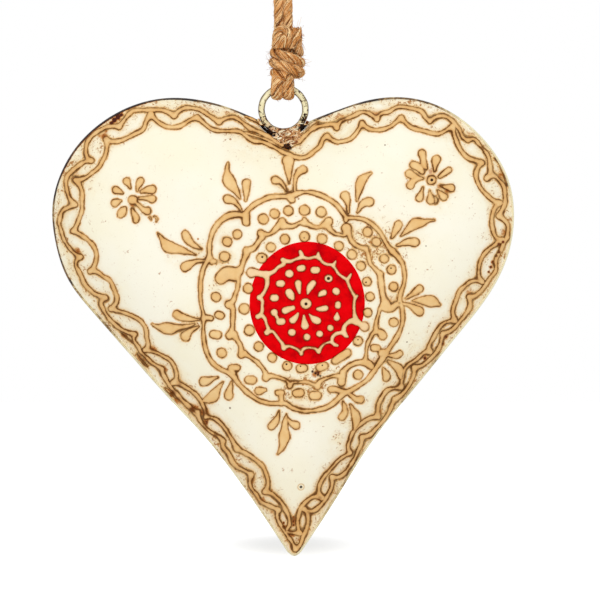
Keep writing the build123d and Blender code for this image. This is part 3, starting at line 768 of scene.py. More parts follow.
def fit_dome(places, span):
    """Smooth height over the rim plane through some points, as a table of weights."""
    degree = 12
    u, v = over_span(places[:, 0], places[:, 2], span)
    rows = np.polynomial.chebyshev.chebvander2d(u, v, [degree, degree])
    order = np.add.outer(np.arange(degree + 1), np.arange(degree + 1)).ravel()
    damping = np.diag(0.002 * (1 + order) ** 1.5) * math.sqrt(len(places)) * 0.02
    system = np.vstack([rows, damping])
    wanted = np.concatenate([-places[:, 1], np.zeros(len(damping))])
    weights = np.linalg.lstsq(system, wanted, rcond=None)[0]
    return weights.reshape(degree + 1, degree + 1)


dome_span = (*at(grid_x[0], grid_y[-1]), *at(grid_x[-1], grid_y[0]))
dome_weights = fit_dome(read_dome(), dome_span)


def dome(px, py):
    """Height of the front sheet under some pixels, in metres towards the viewer."""
    x, z = at(np.asarray(px), np.asarray(py))
    return np.polynomial.chebyshev.chebval2d(*over_span(x, z, dome_span), dome_weights)


def behind(points):
    """Pixels of the rim plane straight behind places that show at some pixels on the domed sheet."""
    near = 1 - dome(*points.T) / view_distance
    for _ in range(2):
        near = 1 - dome(*(centre_px + (points - centre_px) * near[:, None]).T) / view_distance
    return centre_px + (points - centre_px) * near[:, None]


def sampled(field, px, py):
    """A grid's values at some pixels."""
    i = np.clip((px - grid_x[0]) / grid_step, 0, len(grid_x) - 1.001)
    j = np.clip((py - grid_y[0]) / grid_step, 0, len(grid_y) - 1.001)
    i0 = i.astype(int)
    j0 = j.astype(int)
    u = i - i0
    v = j - j0
    return ((1 - u) * (1 - v) * field[i0, j0] + u * (1 - v) * field[i0 + 1, j0]
            + (1 - u) * v * field[i0, j0 + 1] + u * v * field[i0 + 1, j0 + 1])


def skin_of(field, xs, ys):
    """Places and faces of the region where a field is below zero, cut cleanly at its edge."""
    inside = field < 0
    index = np.full(field.shape, -1)
    index[inside] = np.arange(inside.sum())
    where = np.argwhere(inside)
    points = [np.column_stack([xs[where[:, 0]], ys[where[:, 1]]])]
    a, b, c, d = inside[:-1, :-1], inside[1:, :-1], inside[1:, 1:], inside[:-1, 1:]
    full = a & b & c & d
    part = (a | b | c | d) & ~full
    cells = np.argwhere(full)
    i, j = cells[:, 0], cells[:, 1]
    corners = np.column_stack([index[i, j], index[i + 1, j], index[i + 1, j + 1], index[i, j + 1]])
    faces = [tuple(face) for face in corners.tolist()]
    cuts = {}
    extra = []
    total = len(where)
    for i, j in np.argwhere(part).tolist():
        corners = [(i, j), (i + 1, j), (i + 1, j + 1), (i, j + 1)]
        face = []
        for first, second in zip(corners, corners[1:] + corners[:1]):
            if inside[first]:
                face.append(int(index[first]))
            if inside[first] != inside[second]:
                key = (first, second) if first < second else (second, first)
                if key not in cuts:
                    f0, f1 = field[key[0]], field[key[1]]
                    share = min(max(f0 / (f0 - f1), 0.03), 0.97)
                    cuts[key] = total + len(extra)
                    extra.append((xs[key[0][0]] + share * (xs[key[1][0]] - xs[key[0][0]]),
                                  ys[key[0][1]] + share * (ys[key[1][1]] - ys[key[0][1]])))
                face.append(cuts[key])
        if len(face) > 2:
            faces.append(tuple(face))
    points.append(np.array(extra).reshape(-1, 2))
    return np.vstack(points), faces, total


def sheet_object(name, points, faces, total, top, bottom, facts):
    """A thin closed piece between two heights over the rim plane, joined along its cut edge."""
    x, z = at(points[:, 0], points[:, 1])
    count = len(points)
    upper = np.column_stack([x, -top, z])
    lower = np.column_stack([x, -bottom, z])[:total]
    under = [tuple(corner + count if corner < total else corner for corner in face) for face in faces]
    mesh = bpy.data.meshes.new(name)
    over = [face[::-1] for face in faces]
    mesh.from_pydata(np.vstack([upper, lower]).tolist(), [], over + under)
    mesh.shade_smooth()
    for key, values in facts.items():
        attribute = mesh.attributes.new(key, "FLOAT", "POINT")
        attribute.data.foreach_set("value", np.concatenate([values, values[:total]]).astype(np.float32))
    return put(name, mesh)


OUTER_LINE_PX = [
    [(299, 141), (286, 146), (270, 137), (247, 126), (233, 117)],
    [(219, 122), (210, 116), (200, 110), (192, 108), (185, 108), (180, 110)],
    [(174, 116), (168, 112), (160, 110), (150, 110), (140, 110), (133, 111), (127, 116)],
    [(119, 127), (112, 126), (104, 128), (97, 132), (91, 137), (87, 143), (86, 150), (87, 157)],
    [(91, 161), (85, 162), (78, 166), (71, 172), (67, 177), (66, 183), (67, 190), (69, 197)],
    [(75, 205), (68, 208), (62, 212), (60, 218), (59, 223), (61, 230), (63, 237), (66, 243), (71, 250)],
    [(80, 257), (77, 260), (76, 266), (79, 272), (82, 278), (85, 284), (90, 290), (95, 294)],
    [(106, 298), (101, 303), (103, 309), (107, 316), (112, 322), (118, 327), (124, 331)],
    [(135, 334), (134, 340), (138, 346), (141, 352), (146, 357), (151, 362), (157, 366)],
    [(162, 369), (163, 374), (166, 380), (170, 386), (175, 392), (180, 398)],
    [(198, 412), (200, 420), (205, 427), (212, 433), (219, 437)],
    [(223, 441), (223, 446), (228, 453), (232, 461), (236, 466), (243, 470)],
    [(251, 475), (250, 482), (252, 489), (257, 495), (261, 501), (267, 505), (273, 508)],
    [(278, 510), (277, 515), (279, 522), (283, 529), (288, 536), (293, 544)],
    [(295.5, 549), (300, 545), (303, 537), (306, 530), (308, 522), (308, 516)],
    [(304, 509), (313, 511), (320, 506), (325, 500), (329, 493), (332, 486)],
    [(332, 477), (339, 477), (345, 473), (350, 466), (355, 458), (358.5, 450), (361.5, 444)],
    [(362, 437), (368, 436), (375, 430), (381.5, 423), (387, 416), (391, 408)],
    [(394.5, 399.5), (400, 396), (406, 390), (411, 382), (414, 375)],
    [(414, 367.5), (421, 366), (428, 361), (435, 354), (439.5, 347), (441.5, 341)],
    [(443, 334), (450, 331), (456, 326), (461, 320), (466, 314), (470, 307)],
    [(469, 297), (475, 296), (481, 291), (486, 284), (491, 277), (496, 270), (496, 260), (500, 252),
     (503, 245)],
    [(507, 238), (508, 230), (508, 226), (504, 220)],
    [(499, 216), (502, 210), (505, 202), (505, 194), (504, 187), (500, 181), (494, 176)],
    [(487, 178), (490, 172), (490, 165), (489, 158), (485, 151), (479, 144), (474, 139)],
    [(468, 140), (464, 138), (460, 131), (455, 124), (450, 119), (443, 116), (436, 117)],
    [(430, 121), (427, 119), (422, 112), (415, 109), (405, 107), (395, 108), (388, 112), (381, 114)],
    [(377, 119), (373, 116), (368, 113), (362, 112), (355, 115), (348, 118), (340, 122)],
    [(337, 128), (335, 125), (325, 125), (316, 127), (308, 133)],
]
INNER_LINE_PX = [
    [(290, 155), (283, 152), (272, 146), (262, 142), (252, 140), (240, 132), (231, 131), (220, 131),
     (210, 128), (203, 122)],
    [(197, 117), (190, 120), (182, 125), (173, 127), (163, 125), (157, 121)],
    [(151, 114), (146, 122), (143, 129), (135, 134), (127, 138), (120, 141), (110, 141)],
    [(106, 139), (107, 145), (106, 152), (103, 160), (98, 168), (92, 173), (85, 178)],
    [(75, 180), (80, 186), (82, 192), (82, 200), (82, 210), (80, 217), (77, 224)],
    [(73, 231), (79, 234), (88, 240), (93, 246), (96, 252), (96, 260), (94, 266)],
    [(90, 271), (97, 272), (104, 277), (110, 281), (113, 287), (116, 294), (117, 301)],
    [(111, 309), (122, 312), (130, 315), (138, 319), (143, 324), (146, 330), (147, 338), (148, 345)],
    [(145, 350), (155, 352), (163, 356), (170, 360), (174, 366), (176, 372), (176, 379)],
    [(173, 383), (180, 384), (187, 388), (194, 393), (199, 398), (203, 405)],
    [(206, 417), (213, 418), (222, 425), (229, 435), (233, 442)],
    [(237, 449), (243, 452), (250, 456), (257, 461), (263, 467), (266, 474), (268, 482), (267, 488)],
    [(265, 492), (272, 494), (278, 499), (283, 505), (286, 511), (288.5, 516), (289.5, 521), (289, 526),
     (286.5, 530)],
    [(299.5, 533), (298, 527), (297.5, 521), (299, 514), (302, 507), (307, 501), (314, 497)],
    [(322, 498), (319, 491), (320, 484), (324, 477), (330, 470), (336, 463), (343, 457)],
    [(350, 453), (348, 447), (350, 440), (352, 434), (357, 428), (363, 422), (370, 418)],
    [(378, 417), (378, 410), (379, 403), (383, 396), (388, 390), (396, 388)],
    [(401, 387), (402, 378), (405, 369), (411, 363), (418, 358), (424, 353)],
    [(430, 352), (429, 347), (432, 340), (436, 333), (441, 326), (447, 322)],
    [(455, 321), (453, 314), (454, 306), (457, 298), (460, 291), (465, 286), (473, 281)],
    [(482, 282), (479, 276), (479, 268), (481, 260), (485, 253), (492, 247)],
    [(503, 240), (496, 237), (493, 230), (492, 221), (493, 213), (496, 207)],
    [(500, 203), (494, 201), (488, 196), (482, 190), (478, 183), (476, 175), (478, 168)],
    [(482, 163), (474, 160), (467, 157), (462, 152), (458, 145), (455, 137)],
    [(453, 126), (445, 131), (438, 134), (430, 133), (420, 130), (412, 128), (406, 123)],
    [(401, 118), (397, 121), (391, 126), (384, 129), (376, 130), (368, 128)],
    [(362, 123), (360, 127), (356, 133), (350, 139), (344, 141), (337, 142), (331, 139)],
    [(327, 136), (323, 139), (320, 146), (314, 151), (308, 156), (300, 158)],
]
line_radius_px = 2.6
run_together_px = 4.0
fillet_px = 1.4
small_fillet_px = 0.8
stroke_step_px = 0.8


def merged(first, second, reach):
    """Two fields run together with a fillet of a given reach."""
    share = np.clip(0.5 + 0.5 * (second - first) / reach, 0, 1)
    return second * (1 - share) + first * share - reach * share * (1 - share)


def pipe(field, points, reach=fillet_px):
    """Adds one stroke of slip to a field, from points of x, y and radius in pixels."""
    line = flowing(points, stroke_step_px)
    margin = 11
    low_x, high_x = np.searchsorted(grid_x, (line[:, 0].min() - margin, line[:, 0].max() + margin))
    low_y, high_y = np.searchsorted(grid_y, (line[:, 1].min() - margin, line[:, 1].max() + margin))
    window = (slice(low_x, high_x), slice(low_y, high_y))
    away = np.full(field[window].shape, far_px)
    for x, y, r in line:
        away = np.minimum(away, np.hypot(GRID_X[window] - x, GRID_Y[window] - y) - r)
    field[window] = merged(field[window], away, reach)


def chain_of(rows, reach=fillet_px):
    """A closed chain of bellies: each ends where the next one starts."""
    field = clear_field()
    for number, row in enumerate(rows):
        pipe(field, row + [rows[(number + 1) % len(rows)][0]], reach)
    return field


def with_strokes(field, strokes, reach=fillet_px):
    """The same field with more strokes of slip in it."""
    for stroke in strokes:
        pipe(field, stroke, reach)
    return field


def evenly(rows, radius):
    """The same rows, with one radius all along them."""
    return [[(x, y, radius) for x, y in row] for row in rows]


def unevenness(x, y):
    """A slow hand's change of width, in pixels."""
    across = 0.22 * np.sin(x * 0.37 + 1.3 * np.sin(y * 0.21))
    return across + 0.2 * np.sin(y * 0.43 + 1.7 * np.sin(x * 0.17))


WASH_PX = [
    (283, 138, 6, 0.35), (296, 137, 6, 0.35), (272, 136, 5, 0.6), (254, 130, 6, 0.55),
    (111.5, 123, 2.6, 1.2), (114.5, 120, 3, 1.3), (118, 117, 3, 1.3), (121.5, 114.5, 2.6, 1.2),
    (129, 109, 2, 0.9), (106, 131, 2.6, 0.75), (100, 136, 2.6, 0.75), (503, 242, 2.2, 1.1),
    (499, 244.5, 2.6, 1.2), (499, 252, 2.4, 1.1), (496.5, 256, 2.0, 1.0), (492.5, 262, 2.0, 1.1),
    (490.5, 267, 2.4, 1.2), (488.5, 272, 2.0, 1.0), (425, 358, 2.4, 1.1), (446, 337, 2.6, 1.1),
    (443, 344, 2.2, 1.0), (293.5, 517, 1.6, 1.1), (293.5, 521, 2.0, 1.2), (293.5, 525, 1.8, 1.1),
    (283.5, 523, 1.8, 1.1), (283.5, 527, 2.2, 1.2), (286, 530.5, 1.6, 1.0), (293, 535, 3.0, 0.7),
    (124, 335, 4, 0.8), (144, 360, 4, 0.7), (173, 393, 5, 1.0), (193, 409, 5, 1.0), (206, 422, 4, 0.9),
    (216, 436, 4, 0.7), (118, 117, 8, 0.5), (104, 136, 5, 0.8), (75, 178, 9, 0.6), (77, 251, 5, 0.8),
    (66, 215, 7, 0.35), (274, 143, 9, 0.2), (287, 147, 4, 1.0), (292, 137, 9, 0.2), (262, 138, 8, 0.2),
    (230, 112, 9, 0.4), (212, 109, 9, 0.4), (205, 412, 6, 0.9), (178, 400, 6, 0.8), (195, 408, 7, 0.7),
    (153, 349, 5, 0.8), (163, 370, 5, 0.8), (180, 384, 5, 0.7), (118, 324, 6, 0.5), (106, 300, 5, 0.6),
    (140, 358, 6, 0.6), (170, 390, 6, 0.6), (221, 262, 5, 0.5), (224, 452, 8, 0.5), (252, 480, 6, 0.7),
    (262, 500, 6, 0.6), (240, 466, 5, 0.5), (272, 512, 6, 0.5), (290, 534, 6, 0.8), (296, 520, 5, 0.8),
    (305, 512, 6, 0.6), (320, 498, 5, 0.7), (344, 474, 7, 0.5), (356, 452, 6, 0.5), (470, 134, 7, 0.5),
    (500, 176, 7, 0.6), (505, 232, 7, 0.6), (497, 262, 7, 0.4), (470, 292, 6, 0.6), (454, 322, 6, 0.5),
    (425, 356, 6, 0.5), (400, 384, 6, 0.6), (380, 412, 7, 0.6), (362, 436, 6, 0.5), (340, 118, 8, 0.6),
    (318, 124, 8, 0.4), (375, 114, 7, 0.5), (434, 118, 6, 0.5), (236, 215, 8, 0.4), (375, 360, 6, 0.5),
    (317, 373, 4, 1.0), (343, 388, 5, 0.5), (226, 300, 5, 0.4), (228, 277, 7, 0.5), (206, 262, 7, 0.5),
    (133, 205, 4, 0.7), (447, 191, 4, 0.8), (432, 172, 7, 0.5), (440, 186, 5, 0.6), (290, 382, 8, 0.5),
    (300, 404, 10, 0.4), (392, 300, 7, 0.5), (374, 245, 10, 0.35), (352, 232, 7, 0.4), (222, 240, 9, 0.3),
    (234, 374, 6, 0.4), (246, 216, 5, 0.5), (289, 192, 6, 0.5), (346, 216, 5, 0.5), (392, 252, 6, 0.4),
    (203, 318, 5, 0.4), (386, 356, 6, 0.4), (200, 250, 5, 0.4), (180, 330, 4, 0.4), (280, 186, 6, 0.4),
]


def most_of(spots, px, py):
    """The strongest of several soft round spots, each x, y, radius and strength, at some pixels."""
    amount = np.zeros(np.shape(px))
    for x, y, radius, strength in spots:
        amount = np.maximum(amount, strength * np.exp(-((px - x) ** 2 + (py - y) ** 2) / radius ** 2))
    return amount


border_px = 30
border_fade_px = 6
border_wash = 0.14
border_wash_low = 0.18


def wash_at(px, py):
    """How much brown wash was left at some pixels, from 0 to 1: a little in the border, more in patches."""
    from_rim = -sampled(rim_field, px, py)
    low = np.clip((py - 250) / 250, 0, 1)
    amount = border_wash + border_wash_low * low
    amount = amount * np.clip((border_px - from_rim) / border_fade_px, 0, 1)
    return np.maximum(amount, most_of(WASH_PX, px, py))


slip_height = 0.0007
slip_root = 0.0004
slip_sink = 0.00005
slip_ripple = 0.08
pit_depth = 0.85
crown_rise = 0.0001
slip_shoulder_px = 1.5
outline_px = 0.45
pale_outline_px = 0.1
slip_fields = {}


def make_slip(name, line_shade, stain_shade, body, pale):
    """Slip with the brown wash left in its cracks and in a thin broken line round its foot."""
    material, tree = finish_of(name)
    wash = fact_of(tree, "wash")
    stain = noise_of(tree, 260, 5)
    fine = noise_of(tree, 1500, 4)
    tint = ramp_of(tree, noise_of(tree, 130, 3), [(0.38, body), (0.62, pale)])
    depth = plus(tree, fact_of(tree, "rise"), swing_of(tree, stain, 3.4))
    depth = plus(tree, depth, swing_of(tree, noise_of(tree, 75, 2), 2.6))
    depth = less(tree, depth, times(tree, wash, 1.2))
    tint = tint_over(tree, times(tree, ramp_value(tree, depth, 2.2, 0.3), 0.6), tint, stain_shade)
    tint = tint_over(tree, times(tree, wash, ramp_value(tree, stain, 0.4, 0.8)), tint, stain_shade)
    burnt = times(tree, ramp_value(tree, wash, 0.55, 0.9), ramp_value(tree, stain, 0.44, 0.56))
    tint = tint_over(tree, burnt, tint, colour(112, 44, 10))
    close = plus(tree, depth, swing_of(tree, fine, 0.8))
    tint = tint_over(tree, times(tree, ramp_value(tree, close, 0.75, 0.1), 0.9), tint, line_shade)
    tint = tint_over(tree, ramp_value(tree, fact_of(tree, "hole"), 0.4, 0.6), tint, colour(52, 26, 6))
    return finished(material, tint, fine, roughness=0.5, bump=0.25, depth=0.0003, gloss=0.1)


slip_tan = make_slip("tan_slip", line_shade=colour(104, 58, 8), stain_shade=colour(196, 134, 62),
                     body=colour(232, 188, 124), pale=colour(240, 204, 146))


def lay_slip(node, field, base=0.0, material=slip_tan, pits=(), uneven=0.4):
    """Turns a field into a raised piece on the front sheet that stands for a CAD node."""
    field = field + (outline_px if material == slip_tan else pale_outline_px)
    field = field + unevenness(GRID_X, GRID_Y) * uneven
    slip_fields[node] = field
    points, faces, total = skin_of(field, grid_x, grid_y)
    px, py = points.T
    inner = np.clip(-sampled(field, px, py), 0, None)
    inner[total:] = 0
    shoulder = np.clip(inner / slip_shoulder_px, 0, 1)
    crown = np.sqrt(1 - (1 - shoulder) ** 2)
    rise = slip_height * crown * (1 + slip_ripple * np.sin(px * 0.6) * np.sin(py * 0.55))
    holes = 0 * px
    for x, y, radius in pits:
        pit = np.exp(-((px - x) ** 2 + (py - y) ** 2) / radius ** 2)
        rise = rise * (1 - pit_depth * pit)
        holes = np.maximum(holes, pit)
    facts = {"rise": inner, "wash": wash_at(px, py), "hole": holes}
    points = behind(points)
    ground = dome(*points.T)
    top = ground + base - slip_sink + rise + crown_rise * crown
    piece = sheet_object(f"{node}_slip", points, faces, total, top, ground - slip_root + base, facts)
    piece.data.materials.append(material)
    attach(piece, "heart")
    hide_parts(node)


RIGHT_TAIL_PX = [(494, 158, 1.3), (499, 163.5, 1.5), (503, 172, 1.5), (507, 185, 1.2)]
RIDGES_PX = [
    [(246, 116.5, 1.8), (256, 121, 2.1), (263, 126, 1.8)],
    [(245, 133, 1.7), (258, 136.5, 2.0), (272, 142.5, 1.9), (281, 148, 1.6)],
    [(249, 130, 1.4), (262, 134.5, 1.8), (274, 140, 1.6)],
    [(274, 131, 1.8), (283, 135, 2.2), (292, 135.5, 2.1), (301, 132, 1.9)],
    [(303, 136, 1.5), (308, 131, 1.9), (318, 122.5, 1.6)],
    [(279, 141, 2.0), (288, 139, 1.8), (297, 138, 2.0)],
]
RIM_RIDGES_PX = [
    [(120, 332, 1.0), (127, 338, 1.7), (133, 343, 1.1)],
    [(137, 354, 1.0), (142, 361, 1.6), (148, 367, 1.1)],
    [(165, 388, 1.0), (172, 394.5, 1.8), (179, 400, 1.1)],
    [(185, 405, 1.2), (192, 411, 2.0), (199, 418, 1.7), (205, 424, 1.3)],
]
CRUMBS_PX = (286, 138)
CRUMBS_REACH_PX = (19, 8)
outer_line = chain_of(evenly(OUTER_LINE_PX, line_radius_px), run_together_px)
pipe(outer_line, RIGHT_TAIL_PX)
with_strokes(outer_line, RIDGES_PX + RIM_RIDGES_PX, small_fillet_px)
crumb_fillet_px = 0.5
crumb_count = 36
crumb_chance = np.random.default_rng(7)
for _ in range(crumb_count):
    turn, reach = crumb_chance.uniform(0, 2 * math.pi), crumb_chance.uniform(0.1, 1)
    x = CRUMBS_PX[0] + CRUMBS_REACH_PX[0] * reach * math.cos(turn)
    y = CRUMBS_PX[1] + CRUMBS_REACH_PX[1] * reach * math.sin(turn)
    dx, dy = crumb_chance.uniform(-2.5, 2.5, 2)
    thick, thin = crumb_chance.uniform(1.3, 2.2), crumb_chance.uniform(0.9, 1.6)
    pipe(outer_line, [(x, y, thick), (x + dx, y + dy, thin)], crumb_fillet_px)
lay_slip("border_outer_line", outer_line, uneven=0.8)
lay_slip("border_inner_line", chain_of(evenly(INNER_LINE_PX, line_radius_px), run_together_px), uneven=0.8)

# Two more piped lines of the same slip ring the medallion. The outer one is laid in eleven bellies
# with a spur where two meet, and the inner one is a wave that runs to a cusp at each turn.

MEDALLION_PX = [
    [(290, 196, 3.6), (286, 196.5, 3.0), (280, 196.5, 2.9), (270, 197.3, 2.9), (262, 200.5, 2.8),
     (255, 204.3, 2.8), (250, 208.2, 2.7), (246.5, 212.5, 3.2)],
    [(245.5, 215.5, 3.6), (240, 214.8, 3.0), (232, 214.8, 3.4), (225, 217.5, 3.4), (219, 222.8, 3.2),
     (214, 229.5, 2.9), (211, 237, 2.8), (209.5, 245, 2.7), (209.3, 252, 2.8)],
    [(209.5, 258, 3.6), (205.5, 264, 2.7), (203, 270, 2.6), (201, 280, 2.5), (200.3, 290, 2.5),
     (200.6, 300, 2.4), (202, 308, 2.4), (203.5, 314, 2.6)],
    [(204, 319, 3.0), (203.5, 325, 2.3), (203.4, 330, 2.4), (204, 340, 2.5), (206, 350, 2.5),
     (209.3, 358, 2.6), (214, 364.3, 2.7), (220, 368.8, 2.8), (227, 372, 3.0), (232, 375, 3.6)],
    [(234.3, 377.3, 3.4), (237, 381.5, 2.8), (242, 387.5, 2.7), (248, 393, 2.7), (254, 397.5, 2.6),
     (260, 400.8, 2.6), (267, 402.8, 2.6), (274, 403.6, 2.7)],
    [(281, 403.3, 3.0), (286.5, 403.8, 2.9), (291, 407, 2.8), (297, 409.5, 2.7), (304, 411, 2.6),
     (311, 410.8, 2.4), (319, 409.8, 2.5), (327, 407, 2.6), (333, 403.3, 2.8), (338, 399, 3.0),
     (342.5, 394.5, 3.2)],
    [(347.5, 392, 2.6), (352, 389.8, 2.6), (359, 385.8, 2.6), (365, 381.5, 2.6), (370, 376.5, 2.7),
     (374, 371, 2.8), (378, 365, 3.0), (382, 359.5, 3.4)],
    [(385.5, 354, 3.8), (389, 348.5, 2.8), (393, 343, 2.8), (396.5, 337.5, 2.7), (400.2, 330, 2.6),
     (402.8, 320, 2.4), (402.5, 312, 2.5), (401, 305, 2.8)],
    [(399.5, 303, 3.2), (400.2, 295, 2.6), (401.8, 290, 2.5), (404.6, 280, 2.3), (404, 270, 2.4),
     (402.5, 264, 2.6), (400, 259.5, 2.9), (396, 255, 3.4)],
    [(392.5, 251.5, 3.8), (389, 247.5, 2.9), (386.3, 243.5, 2.6), (383.5, 238.5, 2.6),
     (380, 232.5, 2.6), (375.5, 227.5, 2.6), (370.5, 223, 2.7), (364.5, 219.7, 2.6), (358, 218.2, 2.5),
     (351.5, 217.8, 2.6)],
    [(346, 217.8, 3.2), (342.5, 212.5, 2.7), (338.5, 207, 2.7), (333, 202, 2.7), (326.5, 198, 2.7),
     (319.5, 194.8, 2.7), (311.5, 192.6, 2.5), (303, 192.2, 2.3), (297, 193.6, 3.6)],
]
MEDALLION_SPURS_PX = [
    [(289.5, 196.5, 4.2), (291.8, 199.5, 4.0)], [(245.5, 215, 4.2), (246, 222.5, 4.4)],
    [(212, 261.5, 3.2), (214.5, 261.5, 2.6)], [(206, 317.5, 3.4), (211, 318.3, 3.5)],
    [(233, 373, 3.8), (231.5, 368.5, 4.2), (237.5, 368, 3.8)], [(277.5, 392.7, 3.5), (281.8, 392.7, 3.5)],
    [(281, 395, 3.0), (281.5, 401, 3.2)],
    [(331, 389.3, 3.9), (336, 389.5, 3.4), (341, 391, 3.2), (346, 392, 2.8)],
    [(374, 348, 3.9), (377.5, 348.3, 3.9)], [(382, 353, 4.6), (385, 353, 4.4)],
    [(346, 219, 3.4), (346, 220.5, 3.0)],
]
WAVE_PX = [
    [(282, 221.5, 3.6), (276, 228.8, 3.0), (270, 233.8, 2.4), (261, 233.5, 3.8)],
    [(282, 221.5, 3.6), (283, 225.5, 4.0)], [(261, 233.5, 3.8), (262, 237, 3.6)],
    [(262, 237, 3.6), (257.5, 243, 2.9), (253.5, 248, 3.2), (246.5, 250.5, 3.6)],
    [(246.5, 250.5, 3.6), (246, 254.5, 3.5), (243.8, 260.5, 2.7), (242.5, 265, 2.7), (239, 271, 4.4),
     (234, 274.5, 6.6)],
    [(234, 274.5, 6.6), (228, 273.6, 7.0), (221, 278.5, 6.4)],
    [(234, 274.5, 6.0), (238.3, 280, 2.7), (238, 285, 2.6), (237, 290, 2.4), (235, 295, 2.6),
     (233.5, 300, 2.9), (228.3, 304.8, 3.9)],
    [(228.3, 304.8, 3.9), (232, 307, 3.6), (233, 313, 2.7), (232.8, 320, 2.7), (232.5, 326, 2.4),
     (229.5, 335.5, 3.9)],
    [(229.5, 335.5, 3.9), (233, 334.5, 4.4), (236, 338, 3.2), (240, 344.5, 2.7), (241.5, 355, 3.9)],
    [(241.5, 355, 3.9), (244.5, 353.5, 3.6)],
    [(244.5, 353.5, 3.6), (251.5, 358, 2.6), (257, 362, 2.6), (262, 367.5, 2.6), (265, 373, 2.9),
     (266, 378, 4.0)],
    [(266, 378, 4.0), (270, 376.3, 3.0), (276, 376.8, 2.4), (282, 378.5, 2.4), (287, 381, 2.6),
     (289.8, 385.5, 3.6)],
    [(289.8, 385.5, 3.6), (292, 383, 3.0), (297, 382.3, 2.0), (305, 382, 2.1), (310, 383, 2.2),
     (314, 385, 2.3), (317.8, 386.3, 3.6)],
    [(317.8, 386.3, 3.6), (319, 383, 3.0), (323.5, 379.5, 2.2), (328, 377.8, 2.1), (333, 376.3, 2.2),
     (338, 376, 2.5)],
    [(338, 376, 2.5), (342.5, 377, 3.8)], [(341.5, 382.2, 4.6), (342.5, 377, 3.8), (343, 372.5, 3.4)],
    [(343, 372.5, 3.4), (346.5, 368.5, 2.8), (351.5, 364.8, 2.7), (357.5, 362.8, 2.7),
     (363, 362.3, 3.4), (367.5, 363.5, 4.0), (371.5, 366.5, 3.6)],
    [(365, 361.5, 3.0), (366, 355, 2.3), (366.5, 350, 2.0), (368, 343, 2.4), (370.5, 338, 2.6),
     (372.5, 334.5, 2.7), (376, 331.5, 3.0)],
    [(376, 331.5, 3.0), (377.5, 331.5, 3.2), (382.7, 335.8, 4.6)],
    [(376, 331.5, 3.0), (376, 327, 2.8), (376.3, 322, 2.4), (378.5, 314, 2.4), (380.8, 308, 3.0),
     (385, 305.8, 5.8)],
    [(385, 305.8, 5.8), (390, 308.5, 4.2), (396, 304.8, 3.4), (399.5, 303, 3.2)],
    [(385, 303, 4.6), (383, 297, 3.6), (381.8, 290, 3.4), (380.7, 280, 3.6), (380, 274, 3.4)],
    [(380, 274, 3.4), (375.5, 269.5, 2.6), (371, 264.5, 2.5), (368.7, 258, 2.6), (367.3, 252, 2.6),
     (366, 249, 3.0)],
    [(366, 249, 3.0), (362, 248, 2.5), (357.5, 246.3, 2.6), (353.5, 242.8, 2.7), (350.3, 238.5, 2.8),
     (348.8, 234, 3.2), (346.5, 228, 5.2)],
    [(346.5, 228, 5.2), (343.5, 235.5, 2.4), (339.5, 234.8, 2.0), (335.5, 233.8, 2.2),
     (332, 231.3, 2.6), (329.5, 228.5, 3.0)],
    [(328.6, 221.9, 4.6), (326.5, 225, 4.0)],
    [(329.5, 228.5, 3.0), (326.5, 225, 4.0), (320.5, 226.8, 2.4), (315.5, 227.2, 2.3),
     (311, 225.5, 2.6), (304.6, 222.3, 3.0)],
    [(304.5, 219.3, 2.4), (304.6, 222.3, 3.6), (300, 223, 2.2), (295, 225.5, 2.4), (290, 226.4, 2.6),
     (283, 225.5, 4.0)],
]
lay_slip("medallion_outline", with_strokes(chain_of(MEDALLION_PX), MEDALLION_SPURS_PX))
lay_slip("medallion_wave", with_strokes(clear_field(), WAVE_PX))

# Drops of the same slip, set down one by one, fill both bands of the medallion. Most are round and
# some were drawn out long. A few have burst and left a small hole.

OUTER_DOTS_PX = [
    (263.3, 219.2, 5.4), (274.7, 213.8, 5.0), (288.4, 210.8, 5.1), (304.3, 210.2, 5.4), (321.5, 212, 5.1),
    (367.3, 232, 5.0), (376.5, 242, 4.9), (384, 259, 4.7), (391.5, 269.5, 4.9), (393.7, 286.6, 4.8),
    (393.8, 322.5, 4.9), (358.3, 374.8, 5.1), (221.7, 353, 5.2), (216, 297, 5.3), (224.7, 256.5, 5.5),
    (227, 241.7, 5.0), (237.5, 234.3, 5.2),
]
LONG_OUTER_DOTS_PX = [
    [(312.8, 395.7, 4.6), (317.5, 395.7, 4.6)], [(296, 393.3, 4.4), (300.5, 393, 4.7)],
    [(259, 391, 4.6), (265, 390, 2.6)], [(248.8, 379.8, 4.5), (252.5, 380, 4.7)],
    [(213.5, 334.3, 4.7), (217.3, 335, 4.8)], [(218.3, 314.6, 4.6), (220.7, 315.5, 4.5)],
]
INNER_DOTS_PX = [
    (285, 239.3, 5.3), (304.3, 236.8, 5.4), (322, 239.2, 5.3), (339, 246.2, 5.1), (352, 254.5, 5.0),
    (361, 266.2, 5.1), (367, 281.5, 5.0), (369.8, 296.8, 4.9), (367.7, 312.5, 5.0), (358, 341, 5.1),
    (287.5, 366, 5.2), (272.3, 357.6, 5.2), (258.7, 346.7, 5.3), (249.5, 330.3, 5.5), (244, 308.8, 5.6),
    (248, 288.5, 5.3), (261.8, 258.3, 5.5), (271, 247.3, 5.1),
]
LONG_INNER_DOTS_PX = [
    [(347, 353, 4.6), (335.5, 360.5, 4.2)], [(320, 367.6, 4.5), (324, 366, 4.4)],
    [(300, 368.3, 4.6), (304, 368, 4.6)],
]
DOT_PITS_PX = [
    (262.3, 257, 1.3), (391, 268.2, 1.0), (366, 282.4, 1.0), (304.2, 238, 0.7), (286.5, 364.2, 1.2),
    (358, 339.7, 0.8), (300.5, 366.3, 0.9), (322.3, 365.3, 0.9),
]


